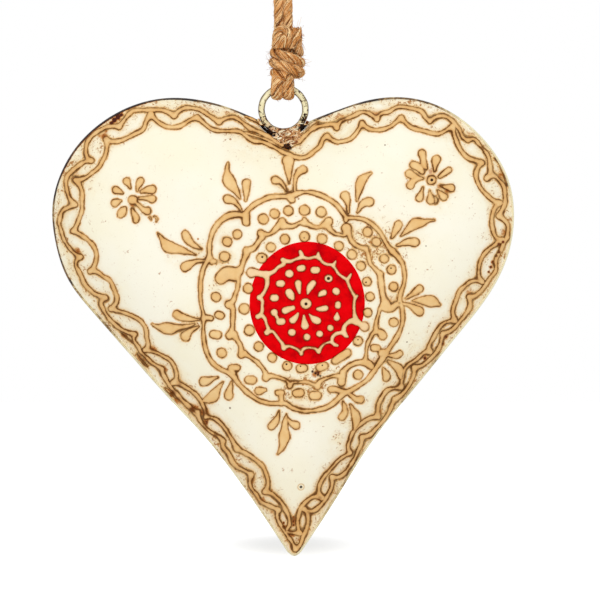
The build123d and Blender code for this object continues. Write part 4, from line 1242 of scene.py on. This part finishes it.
def drops(places, long_drops=()):
    """Round drops from x, y and radius, and long ones from their two ends."""
    field = clear_field()
    for x, y, radius in places:
        stretch = 0.25 * math.sin(x * 1.7 + y)
        ends = [(x - stretch, y - stretch / 2, radius), (x + stretch, y + stretch / 2, radius)]
        pipe(field, ends, small_fillet_px)
    return with_strokes(field, long_drops, small_fillet_px)


lay_slip("outer_dots", drops(OUTER_DOTS_PX, LONG_OUTER_DOTS_PX), pits=DOT_PITS_PX)
lay_slip("inner_dots", drops(INNER_DOTS_PX, LONG_INNER_DOTS_PX), pits=DOT_PITS_PX)

# The red disc is a thin glossy coat of enamel, brushed on inside the inner drops with a clean edge.
# The wave, dots, petals and boss on it are piped in slip too, paler and with hardly any outline.

disc_px = (307.2, 303.0)
disc_half_px = (57.8, 61.5)
disc_mean_px = 58
red_edge_px = 1.2
red_coat = 0.0003
red_sink = 0.00003
red_away = np.hypot((GRID_X - disc_px[0]) / disc_half_px[0], (GRID_Y - disc_px[1]) / disc_half_px[1])
red_field = (red_away - 1) * disc_mean_px


def make_red():
    """Red enamel, darker close beside the slip that stands on it."""
    material, tree = finish_of("red_enamel")
    tint = ramp_of(tree, noise_of(tree, 170, 4),
                   [(0.34, colour(188, 0, 8)), (0.5, colour(226, 2, 8)), (0.7, colour(240, 4, 14))])
    shade = ramp_of(tree, fact_of(tree, "beside"), [(0.0, (1, 1, 1, 1)), (0.9, (0, 0, 0, 1))])
    tint = tint_over(tree, shade, tint, colour(150, 0, 6))
    ripple = noise_of(tree, 420, 3)
    return finished(material, tint, ripple, roughness=0.4, bump=0.12, depth=0.0003, gloss=0.01)


slip_pale = make_slip("pale_slip", line_shade=colour(140, 66, 20), stain_shade=colour(220, 166, 104),
                      body=colour(236, 202, 148), pale=colour(244, 212, 166))
DISC_WAVE_PX = [
    [(300.2, 251.5, 1.9), (301.5, 257, 2.4), (296.5, 259, 1.9), (291, 261.3, 1.9), (282.8, 260, 2.4)],
    [(282.8, 260, 2.4), (284, 263, 2.4), (278.5, 267, 2.0), (274.5, 271, 2.1), (270, 273.5, 2.6),
     (266, 274.5, 3.4), (258, 273.3, 3.3), (251.5, 272.5, 4.9)],
    [(266, 274.5, 3.4), (267.2, 280, 2.8), (267, 285, 2.2), (265.3, 290, 2.1), (262.5, 294.5, 2.3),
     (259.3, 297.5, 2.7)],
    [(259.3, 297.5, 2.7), (262.3, 301, 1.8), (262.3, 305, 1.7), (261.5, 312.5, 2.2), (258, 316.5, 2.6)],
    [(258, 316.5, 2.6), (262, 316, 2.4), (265.3, 320, 1.9), (266.8, 325, 1.7), (268.5, 329.5, 2.3),
     (266.8, 332.8, 2.8)],
    [(266.8, 332.8, 2.8), (272.5, 331.5, 1.9), (276, 335.5, 1.7), (279.5, 340, 1.7), (282.5, 344, 2.2),
     (283.8, 347.8, 2.7)],
    [(283.8, 347.8, 2.7), (289, 346.2, 1.9), (294, 347.8, 1.7), (298, 350, 2.0), (301.3, 353.5, 2.2)],
    [(301.3, 353.5, 2.2), (302.3, 350.3, 2.2), (306, 348, 1.8), (311, 347.8, 1.6), (315.5, 349, 1.8),
     (318.5, 351.8, 2.1)],
    [(318.5, 351.8, 2.1), (321, 347.5, 1.9), (324, 344.3, 1.7), (328, 342.5, 1.5), (332, 342.5, 1.8),
     (334.5, 344.6, 1.8), (337.5, 345.5, 1.3)],
    [(332, 342.5, 1.8), (332.3, 338, 2.0), (335, 334.5, 2.2), (339.5, 333, 2.0), (343.5, 333, 2.6),
     (345.5, 335.3, 2.4), (347.5, 336.8, 1.3)],
    [(343.5, 333, 2.6), (343.8, 329.5, 2.4), (344.5, 326.5, 2.2), (347.5, 323, 2.4), (351.5, 321, 3.0),
     (356, 321.5, 3.6), (360, 324, 3.0), (364.3, 326.5, 4.8)],
    [(356, 321.5, 3.6), (355, 316.5, 2.6), (354.3, 311, 1.9), (354, 306, 1.9), (354.5, 301, 1.8),
     (355.5, 297.5, 1.9), (356.8, 296, 1.8)],
    [(355.5, 297.5, 1.9), (352.5, 292.5, 1.9), (350, 288, 1.7), (348.5, 284, 1.6), (347.5, 280.5, 2.0),
     (349.3, 277, 1.8), (351, 274, 1.0)],
    [(347.5, 280.5, 2.0), (345, 278.5, 1.8), (341, 276, 1.7), (337.5, 272.5, 1.6), (335, 268.5, 1.8),
     (333.5, 265.5, 2.2), (334.3, 263.8, 1.9), (335.5, 261.3, 1.0)],
    [(333.5, 265.5, 2.2), (330.5, 264.8, 1.7), (326, 264.2, 1.6), (322.5, 262, 1.6),
     (319.8, 258.8, 1.9), (318.2, 255.5, 2.1), (318.3, 252.5, 1.1)],
    [(319.8, 258.8, 1.9), (315, 257, 1.9), (309.5, 258.3, 1.6), (304.5, 257.8, 1.9), (301.5, 257, 2.4)],
]
DISC_DOTS_PX = [
    (328.5, 278.5, 4.1), (336, 291.5, 3.8), (330.3, 328, 3.5), (319.7, 334, 3.5), (306.8, 337.3, 3.8),
    (291.8, 332.5, 4.0), (274.2, 312.5, 3.8), (289.3, 273.7, 4.2),
]
LONG_DISC_DOTS_PX = [
    [(299.9, 268.4, 3.5), (302.5, 268.2, 3.7)], [(313.6, 270, 3.6), (317, 270, 3.6)],
    [(338.2, 304, 3.2), (338, 306, 3.3)], [(337.2, 313, 1.0), (336.8, 318, 3.2)],
    [(279.5, 321.8, 3.9), (282, 321.3, 3.7)], [(274.2, 312.5, 2.0), (279.5, 321.8, 2.0)],
    [(273.5, 297.8, 4.0), (275.3, 297.8, 3.9)], [(279, 283.7, 3.6), (281.6, 283.7, 3.6)],
]
DISC_PETALS_PX = [
    [(299.5, 293, 1.6), (298.6, 288, 2.8), (298, 283.5, 3.9)],
    [(307.8, 293.8, 1.2), (309, 289.5, 2.7), (311.5, 285, 3.8), (313, 283.3, 3.5)],
    [(318.8, 296, 1.3), (322, 293.5, 3.2), (323.8, 292.6, 3.4)],
    [(317.5, 309, 1.9), (321, 309, 3.0), (325.3, 308.3, 3.3)],
    [(309.5, 314.3, 1.0), (312.5, 317.8, 2.4), (315.8, 320.3, 3.9), (317.5, 321, 3.7)],
    [(303.9, 315.8, 1.1), (304.2, 320.5, 2.4), (305, 325.6, 4.0)],
    [(298, 313.5, 1.2), (295.5, 317.5, 2.8), (292.7, 320.5, 3.6)],
    [(292.8, 308, 2.6), (288, 309.5, 3.4), (285, 310.7, 3.7)],
    [(292.5, 298.5, 2.6), (290.8, 295.3, 4.2), (289, 292.8, 4.1)],
]
on_paint = 0.00035
disc_fields = {
    "disc_wave": with_strokes(clear_field(), DISC_WAVE_PX, 1.0),
    "disc_dots": drops(DISC_DOTS_PX, LONG_DISC_DOTS_PX),
    "disc_petals": with_strokes(clear_field(), DISC_PETALS_PX, 0.6),
    "disc_boss": drops([(306, 303.8, 5.6)]),
}
disc_pits = {"disc_dots": [(328.5, 278.5, 2.0)], "disc_boss": [(306, 304, 1.9)]}
for node, field in disc_fields.items():
    lay_slip(node, field, base=on_paint, material=slip_pale, pits=disc_pits.get(node, ()))

disc_slip = np.minimum.reduce([slip_fields[node] for node in (*disc_fields, "inner_dots")])
points, faces, total = skin_of(red_field, grid_x, grid_y)
rounding = np.clip(-sampled(red_field, *points.T) / red_edge_px, 0, 1)
facts = {"beside": sampled(disc_slip, *points.T)}
points = behind(points)
ground = dome(*points.T)
top = ground - red_sink + red_coat * rounding
red_disc = sheet_object("red_disc_paint", points, faces, total, top, ground - red_coat, facts)
red_disc.data.materials.append(make_red())
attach(red_disc, "heart")
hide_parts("red_disc")

# Eleven sprigs spring from the medallion's cusps, each of three teardrops, and a flower of drops
# fills each lobe of the heart. They are the same tan slip, each drop one squeeze of the cone that
# was pulled off to a point.

SPRIG_PX = {
    "top": [
        [(289, 183, 1.3), (289, 178, 2.4), (288.7, 172, 3.7), (288.5, 165, 5.2), (288.3, 160.5, 6.3)],
        [(286.5, 191, 1.5), (283.5, 185.5, 2.1), (279.5, 181.3, 3.2), (275.4, 180.3, 4.4)],
        [(294.8, 191, 2.0), (294.8, 183, 2.1), (296, 177, 2.9), (299, 172.2, 4.0), (303, 169.6, 4.9)],
    ],
    "top_left": [
        [(240, 198, 1.5), (237.5, 193, 3.3), (233, 186.5, 5.2), (228.5, 179.5, 6.3),
         (227.5, 173.5, 3.6), (227.3, 168, 2.5), (228, 163, 2.0)],
        [(245.7, 200.5, 1.8), (246, 195, 2.7), (246.3, 189, 4.0), (246.3, 183, 5.0)],
        [(241.5, 211, 1.4), (238.8, 206.5, 2.2), (235, 202.5, 3.1), (231, 200, 4.4), (227.6, 199.3, 5.0)],
    ],
    "left_high": [
        [(196, 255, 1.2), (190, 253, 2.4), (182, 250.5, 3.8), (175, 248.5, 5.3), (168, 246.5, 6.3),
         (163, 240.5, 3.4), (159.5, 235.5, 2.0), (157.3, 232.5, 1.0)],
        [(201.5, 249, 1.5), (196, 246.5, 2.6), (190.5, 242.5, 3.8), (186.5, 237, 4.5), (185, 233.5, 3.6)],
        [(205, 261, 1.6), (198, 261, 2.6), (192, 263, 3.8), (187.5, 265.5, 4.9), (184.8, 266.8, 5.0)],
    ],
    "left_low": [
        [(195, 324, 1.4), (187, 326.3, 2.4), (179, 327.4, 3.4), (172, 328.6, 5.6), (167, 328.4, 6.4),
         (160, 327.2, 3.6), (154.5, 325.5, 2.0), (152, 324, 1.2)],
        [(198.5, 319.7, 1.6), (191, 319.2, 2.9), (184.5, 317.8, 3.7), (179, 316, 4.5),
         (176.6, 314.3, 4.6)],
        [(199, 326.3, 1.4), (194.5, 328.5, 2.3), (189.5, 331.5, 3.2), (185.5, 336.6, 5.0)],
    ],
    "bottom_left": [
        [(223.5, 382, 1.3), (219.5, 386.5, 2.6), (216, 391.5, 4.2), (213, 396.5, 5.8), (206, 400, 3.4),
         (201.5, 401.5, 1.4)],
        [(218, 377.2, 1.0), (212, 379, 2.6), (207, 381, 4.2), (204, 381.5, 4.9)],
        [(231.5, 381.5, 1.6), (230.3, 387, 2.7), (229, 392, 4.0), (228.8, 395.4, 4.8)],
    ],
    "bottom": [
        [(286.5, 414, 1.2), (285.5, 420, 3.0), (284.8, 428, 4.2), (284.3, 437, 5.9), (283, 444, 4.3),
         (280.5, 450, 2.6), (278, 453.5, 1.5)],
        [(279, 411, 1.6), (277.8, 416.5, 2.9), (275, 422, 4.2), (271.7, 426.2, 4.6)],
        [(287, 417, 1.6), (290.5, 422.3, 3.0), (295.7, 425.5, 4.8)],
    ],
    "bottom_right": [
        [(350.3, 404.5, 1.3), (353, 410, 3.0), (355.8, 416, 4.8), (356.2, 422, 4.6),
         (354.8, 428.5, 3.0), (353.3, 434, 1.8)],
        [(342.7, 401.5, 1.3), (344.6, 407, 2.8), (344.8, 412.5, 3.8), (342, 417.2, 4.0)],
        [(347.5, 392.3, 1.8), (352.5, 396.8, 2.5), (357, 399.5, 3.5), (360.7, 399.7, 4.4)],
    ],
    "right_low": [
        [(388, 361, 1.4), (392.5, 363.8, 2.9), (397, 367, 4.4), (400, 371, 5.0), (401, 375.5, 4.2),
         (401.5, 378.5, 3.0)],
        [(383, 368.5, 1.4), (385, 372.5, 3.0), (386.4, 376.8, 4.0), (385.8, 378.6, 3.4)],
        [(388.5, 355.2, 2.2), (393, 355.8, 2.9), (397.5, 355.4, 3.9), (399.7, 353.8, 3.9)],
    ],
    "right_mid": [
        [(413, 300.8, 1.3), (419, 300.3, 3.0), (425, 300.5, 5.0), (430, 301, 6.2), (435.5, 303, 4.0),
         (439.5, 305, 1.8)],
        [(406, 298.3, 1.3), (411, 295.3, 2.4), (415.5, 292, 3.7), (419, 289, 4.3)],
        [(402, 303.8, 2.0), (408, 305, 2.2), (413, 307.3, 3.4), (419.3, 311.3, 4.9)],
    ],
    "right_high": [
        [(401, 236, 1.3), (406, 231.5, 3.0), (411, 227, 4.8), (416, 223.5, 6.0), (422, 222.5, 4.4),
         (428, 221, 2.5), (434, 220.3, 1.7)],
        [(392.2, 237.5, 1.9), (394.3, 233, 3.0), (396.8, 228.5, 4.2), (398.3, 225, 4.6)],
        [(397, 245.5, 1.6), (402, 243.7, 2.8), (408, 242, 4.4), (414.3, 242.2, 5.2)],
    ],
    "top_right": [
        [(357, 200.5, 1.6), (358, 194, 3.0), (359.5, 187, 4.6), (361, 181.5, 5.2), (366, 176.3, 3.2),
         (371, 173.3, 1.4)],
        [(348.3, 212.5, 1.6), (348, 206, 2.3), (347, 200.5, 3.6), (345, 195.7, 4.9)],
        [(357.3, 212.6, 1.6), (360.5, 207, 2.8), (364, 203.2, 4.1), (369.3, 201.8, 5.1)],
    ],
}
LEFT_FLOWER_PX = [
    [(132.5, 200, 5.0), (132.8, 200, 5.0)], [(130.3, 188.5, 1.4), (128.8, 185, 2.5), (126.5, 181, 4.2)],
    [(137.3, 191, 1.4), (138, 186.5, 2.6), (140, 182, 3.9), (141, 180.5, 3.7)],
    [(141.5, 191.8, 1.9), (146, 190.3, 3.3), (152, 189.6, 4.6)],
    [(139, 198.3, 1.6), (145.5, 198.2, 2.4), (152.3, 199, 4.1)],
    [(136, 202.8, 1.9), (140.5, 207, 2.6), (144.5, 210.2, 3.6), (147.3, 211, 4.3)],
    [(150, 217.5, 1.4), (151.5, 220, 1.1)], [(154, 216.5, 1.2), (157, 219, 1.5), (156, 222, 1.2)],
    [(132.3, 209, 1.8), (133.8, 213, 2.8), (136.3, 218.3, 3.9), (136, 220.5, 3.3)],
    [(124.6, 208.5, 2.4), (121.8, 213, 4.6), (120.7, 215.3, 3.6)],
    [(120.8, 200.8, 1.6), (117.8, 202, 3.0), (114.6, 203.4, 4.2)],
    [(123.2, 193.8, 1.3), (120, 191.7, 2.8), (116, 190, 4.1)],
]
RIGHT_FLOWER_PX = [
    [(431.4, 180.2, 5.0), (431.7, 180.2, 5.0)],
    [(434.8, 170.3, 1.8), (435, 165, 3.2), (436.3, 159.5, 4.8)],
    [(440, 176.8, 2.3), (444.5, 173.3, 3.1), (448.8, 170.2, 3.7)],
    [(440, 185.6, 1.3), (446, 187, 3.0), (451.5, 188, 4.6)],
    [(437.8, 190.3, 1.4), (440.5, 193.2, 3.0), (443.8, 196.4, 4.3)],
    [(429.6, 190.5, 1.3), (430, 195, 2.6), (430.8, 200.3, 4.4)],
    [(433, 195.5, 0.9), (438, 200.2, 1.0), (436, 203.6, 1.2), (433.5, 202.8, 1.0)],
    [(423, 187.5, 1.6), (421.5, 192, 2.6), (419.2, 198, 4.1)],
    [(409.7, 174, 4.6), (414, 176.3, 4.0), (418, 178, 3.0), (423, 178.3, 1.5)],
    [(410.4, 185.8, 4.4), (413, 181.5, 3.6), (417, 178.5, 3.0)],
    [(421.8, 153.5, 4.5), (423.3, 160, 3.3), (424.6, 165.5, 3.3), (426.3, 168, 2.0)],
    [(413.5, 164.8, 4.4), (419, 168, 4.1), (422, 172, 2.6)],
]
for name, rows in SPRIG_PX.items():
    lay_slip(f"sprig_{name}", with_strokes(clear_field(), rows, small_fillet_px))
lay_slip("left_flower", with_strokes(clear_field(), LEFT_FLOWER_PX, small_fillet_px))
right_flower = with_strokes(clear_field(), RIGHT_FLOWER_PX, small_fillet_px)
lay_slip("right_flower", right_flower, pits=[(431.8, 180, 1.8)])

# Two sheets of thin metal, pressed into a puffed heart and painted cream. A brown wash was rubbed
# over the front and wiped off. It stays as a fine line round all slip, as an amber haze between the
# border's lines, and as dark patches near the ring, the tip and some cusps.

CRACKLE_PX = [
    (372, 246, 26, 1.0), (350, 232, 12, 0.8), (312, 384, 22, 1.0), (290, 392, 16, 0.8),
    (340, 372, 14, 0.7), (226, 262, 12, 0.8), (214, 286, 10, 0.5), (198, 250, 9, 0.7), (176, 258, 8, 0.5),
    (222, 236, 10, 0.5), (398, 300, 12, 0.6), (374, 330, 10, 0.7), (284, 190, 14, 0.5),
    (322, 226, 12, 0.6), (262, 248, 12, 0.6), (356, 300, 10, 0.4), (440, 196, 12, 0.8),
    (416, 176, 10, 0.6), (140, 206, 12, 0.5), (196, 322, 12, 0.7), (178, 334, 10, 0.5),
    (280, 418, 12, 0.6), (352, 420, 12, 0.6), (392, 364, 12, 0.6), (410, 236, 14, 0.5),
    (262, 480, 10, 0.8), (254, 462, 8, 0.6), (340, 440, 9, 0.6), (110, 290, 12, 0.4), (250, 135, 20, 0.6),
    (300, 145, 12, 0.6), (120, 120, 16, 0.8), (80, 180, 16, 0.7), (78, 250, 10, 0.7), (96, 276, 10, 0.5),
    (330, 118, 14, 0.4), (470, 132, 12, 0.5), (494, 180, 14, 0.6), (500, 238, 14, 0.6),
    (460, 300, 12, 0.5), (425, 350, 12, 0.5), (232, 352, 10, 0.4),
]


def spot(tree, px, py, radius_px, soft_px):
    """One inside a round spot on the front, fading at its edge."""
    seen = behind(np.array([[px, py]], float))[0]
    x, z = at(*seen)
    away = tree.nodes.new("ShaderNodeVectorMath")
    away.operation = "DISTANCE"
    away.inputs[1].default_value = (x, -float(dome(*seen)), z)
    tree.links.new(own_place(tree), away.inputs[0])
    away_px = reckon(tree, "DIVIDE", away.outputs["Value"], mm_per_px * 0.001)
    return ramp_value(tree, away_px, radius_px + soft_px, radius_px - soft_px)


SPOTS_PX = [
    (283, 138, 5, (204, 146, 88), 4), (297, 137, 5, (212, 158, 100), 4),
    # The small near-white spot at 286.3, 143 is a painted highlight beside the black spot at the cleft's
    # foot.
    (287.5, 146.5, 2.4, (30, 12, 6), 0.8), (286.3, 143, 1.2, (250, 240, 220), 0.5),
    (314.5, 374.5, 2.6, (190, 120, 60), 1.2), (312.5, 371.6, 1.2, (46, 18, 6), 0.6),
    (315.5, 373.2, 1.3, (46, 18, 6), 0.6), (318, 374.8, 1.2, (46, 18, 6), 0.6),
    (320.3, 376, 1.0, (46, 18, 6), 0.6), (301, 487, 3.6, (216, 176, 120), 0.7),
    (301, 487, 2.7, (250, 240, 208), 0.4), (301, 487, 1.4, (38, 10, 6), 0.5),
    (385, 145, 0.7, (120, 90, 50), 0.4), (230, 408, 0.9, (90, 50, 20), 0.5),
    (407, 342, 0.7, (120, 80, 40), 0.4), (198, 239, 1.0, (190, 120, 50), 0.5),
    (426, 246, 0.6, (120, 90, 50), 0.4),
]


def make_cream():
    """Cream paint with a rubbed brown wash."""
    material, tree = finish_of("antiqued_cream_paint")
    wash = fact_of(tree, "wash")
    crackle = fact_of(tree, "crackle")
    patch = noise_of(tree, 230, 5)
    crumbs = noise_of(tree, 620, 5, roughness=0.7, distortion=0.8)
    tint = ramp_of(tree, noise_of(tree, 26, 3),
                   [(0.35, colour(249, 243, 218)), (0.65, colour(251, 247, 229))])

    slow = swing_of(tree, noise_of(tree, 75, 2), -2.6, middle=0.44)
    ragged = plus(tree, swing_of(tree, patch, 3.4), slow)
    ragged = plus(tree, ragged, swing_of(tree, crumbs, 2.2))
    close = less(tree, plus(tree, fact_of(tree, "beside"), ragged), times(tree, wash, 1.6))
    wide = times(tree, ramp_value(tree, close, 4.5, 0.5), ramp_value(tree, wash, -0.1, 0.6))
    halo = reckon(tree, "MAXIMUM", wide, ramp_value(tree, close, 1.5, 0.5))
    tint = tint_over(tree, times(tree, halo, 0.85), tint, colour(224, 166, 84))
    stain = times(tree, wash, ramp_value(tree, crumbs, 0.44, 0.56))
    tint = tint_over(tree, ramp_value(tree, stain, 0.22, 0.95), tint, colour(172, 104, 38))
    line = ramp_value(tree, close, 0.35, -0.25)
    tint = tint_over(tree, times(tree, line, 0.92), tint, colour(104, 58, 8))
    darkest = times(tree, ramp_value(tree, close, -0.3, -1.4), ramp_value(tree, wash, 0.3, 0.8))
    tint = tint_over(tree, darkest, tint, colour(40, 20, 4))

    haze = times(tree, crackle, ramp_value(tree, patch, 0.34, 0.6))
    tint = tint_over(tree, times(tree, haze, 0.75), tint, colour(238, 206, 138))
    streaks = plus(tree, noise_of(tree, 480, 6, roughness=0.66, distortion=1.8), times(tree, crackle, 0.2))
    streaks = ramp_value(tree, plus(tree, streaks, swing_of(tree, patch, 0.5)), 0.66, 0.76)
    tint = tint_over(tree, times(tree, streaks, 0.9), tint, colour(168, 104, 36))
    specks = ramp_value(tree, noise_of(tree, 1500, 2), 0.7, 0.74)
    tint = tint_over(tree, times(tree, specks, 0.4), tint, colour(176, 140, 86))

    burnt = plus(tree, wash, swing_of(tree, patch, 0.8))
    burnt = plus(tree, burnt, swing_of(tree, crumbs, 1.2))
    tint = tint_over(tree, ramp_value(tree, burnt, 0.45, 0.8), tint, colour(188, 112, 44))
    tint = tint_over(tree, ramp_value(tree, burnt, 0.7, 0.95), tint, colour(74, 26, 6))
    for x, y, radius, shade, soft in SPOTS_PX:
        tint = tint_over(tree, spot(tree, x, y, radius, soft), tint, colour(*shade))
    ripple = noise_of(tree, 300, 4)
    return finished(material, tint, ripple, roughness=0.4, bump=0.08, depth=0.0004, gloss=0.12)


all_slip = np.minimum.reduce(list(slip_fields.values()))
sheet_inset_px = 1.2
sheet_edge = 0.0002
shell_step = 1.05
shell_x = np.arange(44, 522, shell_step)
shell_y = np.arange(90, 562, shell_step)
SHELL_X, SHELL_Y = np.meshgrid(shell_x, shell_y, indexing="ij")
shell_field = sampled(rim_field, SHELL_X, SHELL_Y) + sheet_inset_px
ring_clear_px = 28.6
ring_centre_px = cleft_px - (ring_centre_z * 1000 - cleft_z_mm) / mm_per_px
from_ring = np.hypot(SHELL_X - ring_axis_px, SHELL_Y - ring_centre_px)
shell_field = np.maximum(shell_field, ring_clear_px - from_ring)
points, faces, total = skin_of(shell_field, shell_x, shell_y)
px, py = points.T
points = behind(points)
ground = dome(*points.T)
wash = wash_at(px, py)
from_rim = sampled(rim_field, px, py)
border = 0.38 * np.clip((34 + from_rim) / 8, 0, 1) + 0.25 * np.clip((14 + from_rim) / 6, 0, 1)
knocked_wash = 1.15
knocked = np.clip((175 - px) / 30, 0, 1) * np.clip((195 - py) / 30, 0, 1)
wash = np.maximum(wash, knocked_wash * knocked * np.clip((2.9 + from_rim) / 1.1, 0, 1))
crackle = np.maximum(most_of(CRACKLE_PX, px, py), border)
facts = {"beside": sampled(all_slip, px, py), "wash": wash, "crackle": crackle}
cream = make_cream()
front = sheet_object("front_sheet", points, faces, total, ground, 0 * ground + sheet_edge, facts)
front.data.materials.append(cream)
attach(front, "heart")
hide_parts("front_shell")

no_slip_near_px = 20.0
back_wash = 0.4
facts = {"beside": 0 * px + no_slip_near_px, "wash": wash * back_wash, "crackle": 0 * px}
faces = [face[::-1] for face in faces]
back = sheet_object("back_sheet", points, faces, total, -ground, 0 * ground - sheet_edge, facts)
back.data.materials.append(cream)
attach(back, "heart")
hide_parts("back_shell")

# The two sheets are joined by a thin bead of weld round the rim, painted over with the heart. The
# paint is thin there and rubbed through, so that dark metal shows, most at the upper left.

seam_half_wide = 0.00055
seam_half_deep = 0.0009


def make_seam_paint():
    material, tree = finish_of("worn_seam")
    x, _, z = place_of(tree)
    fine = noise_of(tree, 800, 4)
    high = ramp_value(tree, z, -0.19, -0.10)
    high = less(tree, high, times(tree, ramp_value(tree, x, 0.066, 0.078), 1.6))
    mixed = plus(tree, times(tree, noise_of(tree, 60, 4), 0.8), times(tree, fine, 0.35))
    mixed = less(tree, mixed, times(tree, high, 0.24))
    knocked = times(tree, ramp_value(tree, x, -0.045, -0.06), ramp_value(tree, z, -0.11, -0.095))
    mixed = less(tree, mixed, times(tree, knocked, 0.1))
    tint = ramp_of(tree, mixed, [(0.3, colour(34, 18, 8)), (0.4, colour(126, 96, 56)),
                                 (0.48, colour(206, 188, 142)), (0.62, colour(236, 226, 188))])
    return finished(material, tint, fine, roughness=0.6, bump=0.4, depth=0.0005)


rim_x, rim_z = at(*rim_px.T)
rim_line = np.column_stack([rim_x, 0 * rim_x, rim_z])
along = np.roll(rim_line, -1, 0) - np.roll(rim_line, 1, 0)
inward = np.cross(along / np.linalg.norm(along, axis=1)[:, None], (0, 1, 0))
if inward[0][2] > 0:
    inward = -inward
seam_line = rim_line + inward * seam_half_wide
seam = solid_of("rim_seam", [hoop(seam_line, seam_half_wide, seam_half_deep, seed=61)])
seam.data.materials.append(make_seam_paint())
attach(seam, "heart")
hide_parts("seam_weld")

# A short weld joins the foot of the ring to both sheets in the cleft. It was left rough, and is
# black where it meets the shoulders and smeared with paint between them.

cad_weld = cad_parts["ring_weld"]


def make_weld_metal():
    """Black at both shoulders, and crusted over with paint and slip between them."""
    material, tree = finish_of("black_weld")
    x, _, z = place_of(tree)
    crust = noise_of(tree, 650, 6)
    left = ramp_value(tree, x, -0.0025, -0.0045)
    right = ramp_value(tree, x, 0.0070, 0.0085)
    low = ramp_value(tree, z, -0.0760, -0.0768)
    bare = times(tree, reckon(tree, "MAXIMUM", left, right), low)
    mixed = less(tree, crust, times(tree, bare, 0.45))
    tint = ramp_of(tree, mixed, [(0.36, colour(12, 4, 2)), (0.46, colour(120, 60, 20)),
                                 (0.54, colour(214, 166, 104)), (0.64, colour(240, 226, 184))])
    return finished(material, tint, crust, roughness=0.7, bump=0.9, depth=0.0006, gloss=0.05)


cad_weld.data.materials.clear()
cad_weld.data.materials.append(make_weld_metal())

# Lumps of burnt paint, flux and slip are stuck over the weld and down the cleft below it. They are
# pale in the middle, and black at both shoulders and round one spot at the foot.

crust_lumps = 210
lumps_on_weld = 91
weld_span_px = (267, 305)
cleft_span_px = (275, 301)
cleft_point_px = (288, 149)
cleft_slope = 0.75
crust_depth_px = 10
cleft_foot_px = (287.5, 146.5)
black_spot_px = 3
lump_rise = 0.0006
lump_corners = 6
lump_girth = np.array([0.4, 0.9, 1.0, 0.8, 0.3])
share = np.linspace(-1, 1, len(lump_girth))[:, None]
crust_chance = np.random.default_rng(15)
crust_parts = []
for number in range(crust_lumps):
    px = crust_chance.uniform(*weld_span_px)
    foot_px = ring_centre_px + math.sqrt((ring_radius / mm_per_px * 1000) ** 2 - (px - ring_axis_px) ** 2)
    py = foot_px + crust_chance.uniform(-1.5, 5.5)
    if number >= lumps_on_weld:
        px = crust_chance.uniform(*cleft_span_px)
        edge_px = cleft_point_px[1] - abs(px - cleft_point_px[0]) * cleft_slope
        py = edge_px - crust_chance.uniform(0, crust_depth_px)
    seen = behind(np.array([[px, py]]))[0]
    x, z = at(*seen)
    y = -max(float(dome(*seen)) + lump_rise, wire_radius) - crust_chance.uniform(0, 0.0004)
    reach = crust_chance.uniform(-0.0014, 0.0014, 3) * (1, 0.2, 0.6)
    radii = lump_girth * crust_chance.uniform(0.00018, 0.00048)
    vertices, faces = tube_rings(np.array([x, y, z]) + share * reach, radii, lump_corners)
    on_shoulder = not cleft_span_px[0] <= px <= cleft_span_px[1]
    black = on_shoulder or math.dist((px, py), cleft_foot_px) < black_spot_px
    tone = crust_chance.uniform(0, 0.3) if black else crust_chance.uniform(0.3, 0.95)
    crust_parts.append((vertices, faces, tone))


def make_crust():
    material, tree = finish_of("weld_crust")
    grain = noise_of(tree, 1400, 3)
    mixed = plus(tree, fact_of(tree, "tone"), less(tree, grain, 0.5))
    tint = ramp_of(tree, mixed, [(0.2, colour(24, 8, 4)), (0.4, colour(140, 76, 34)),
                                 (0.65, colour(220, 170, 116)), (0.9, colour(250, 238, 206))])
    return finished(material, tint, grain, roughness=0.6, bump=0.4, depth=0.0003, gloss=0.1)


crust = solid_of("weld_crust", crust_parts)
crust.data.materials.append(make_crust())
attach(crust, "heart")
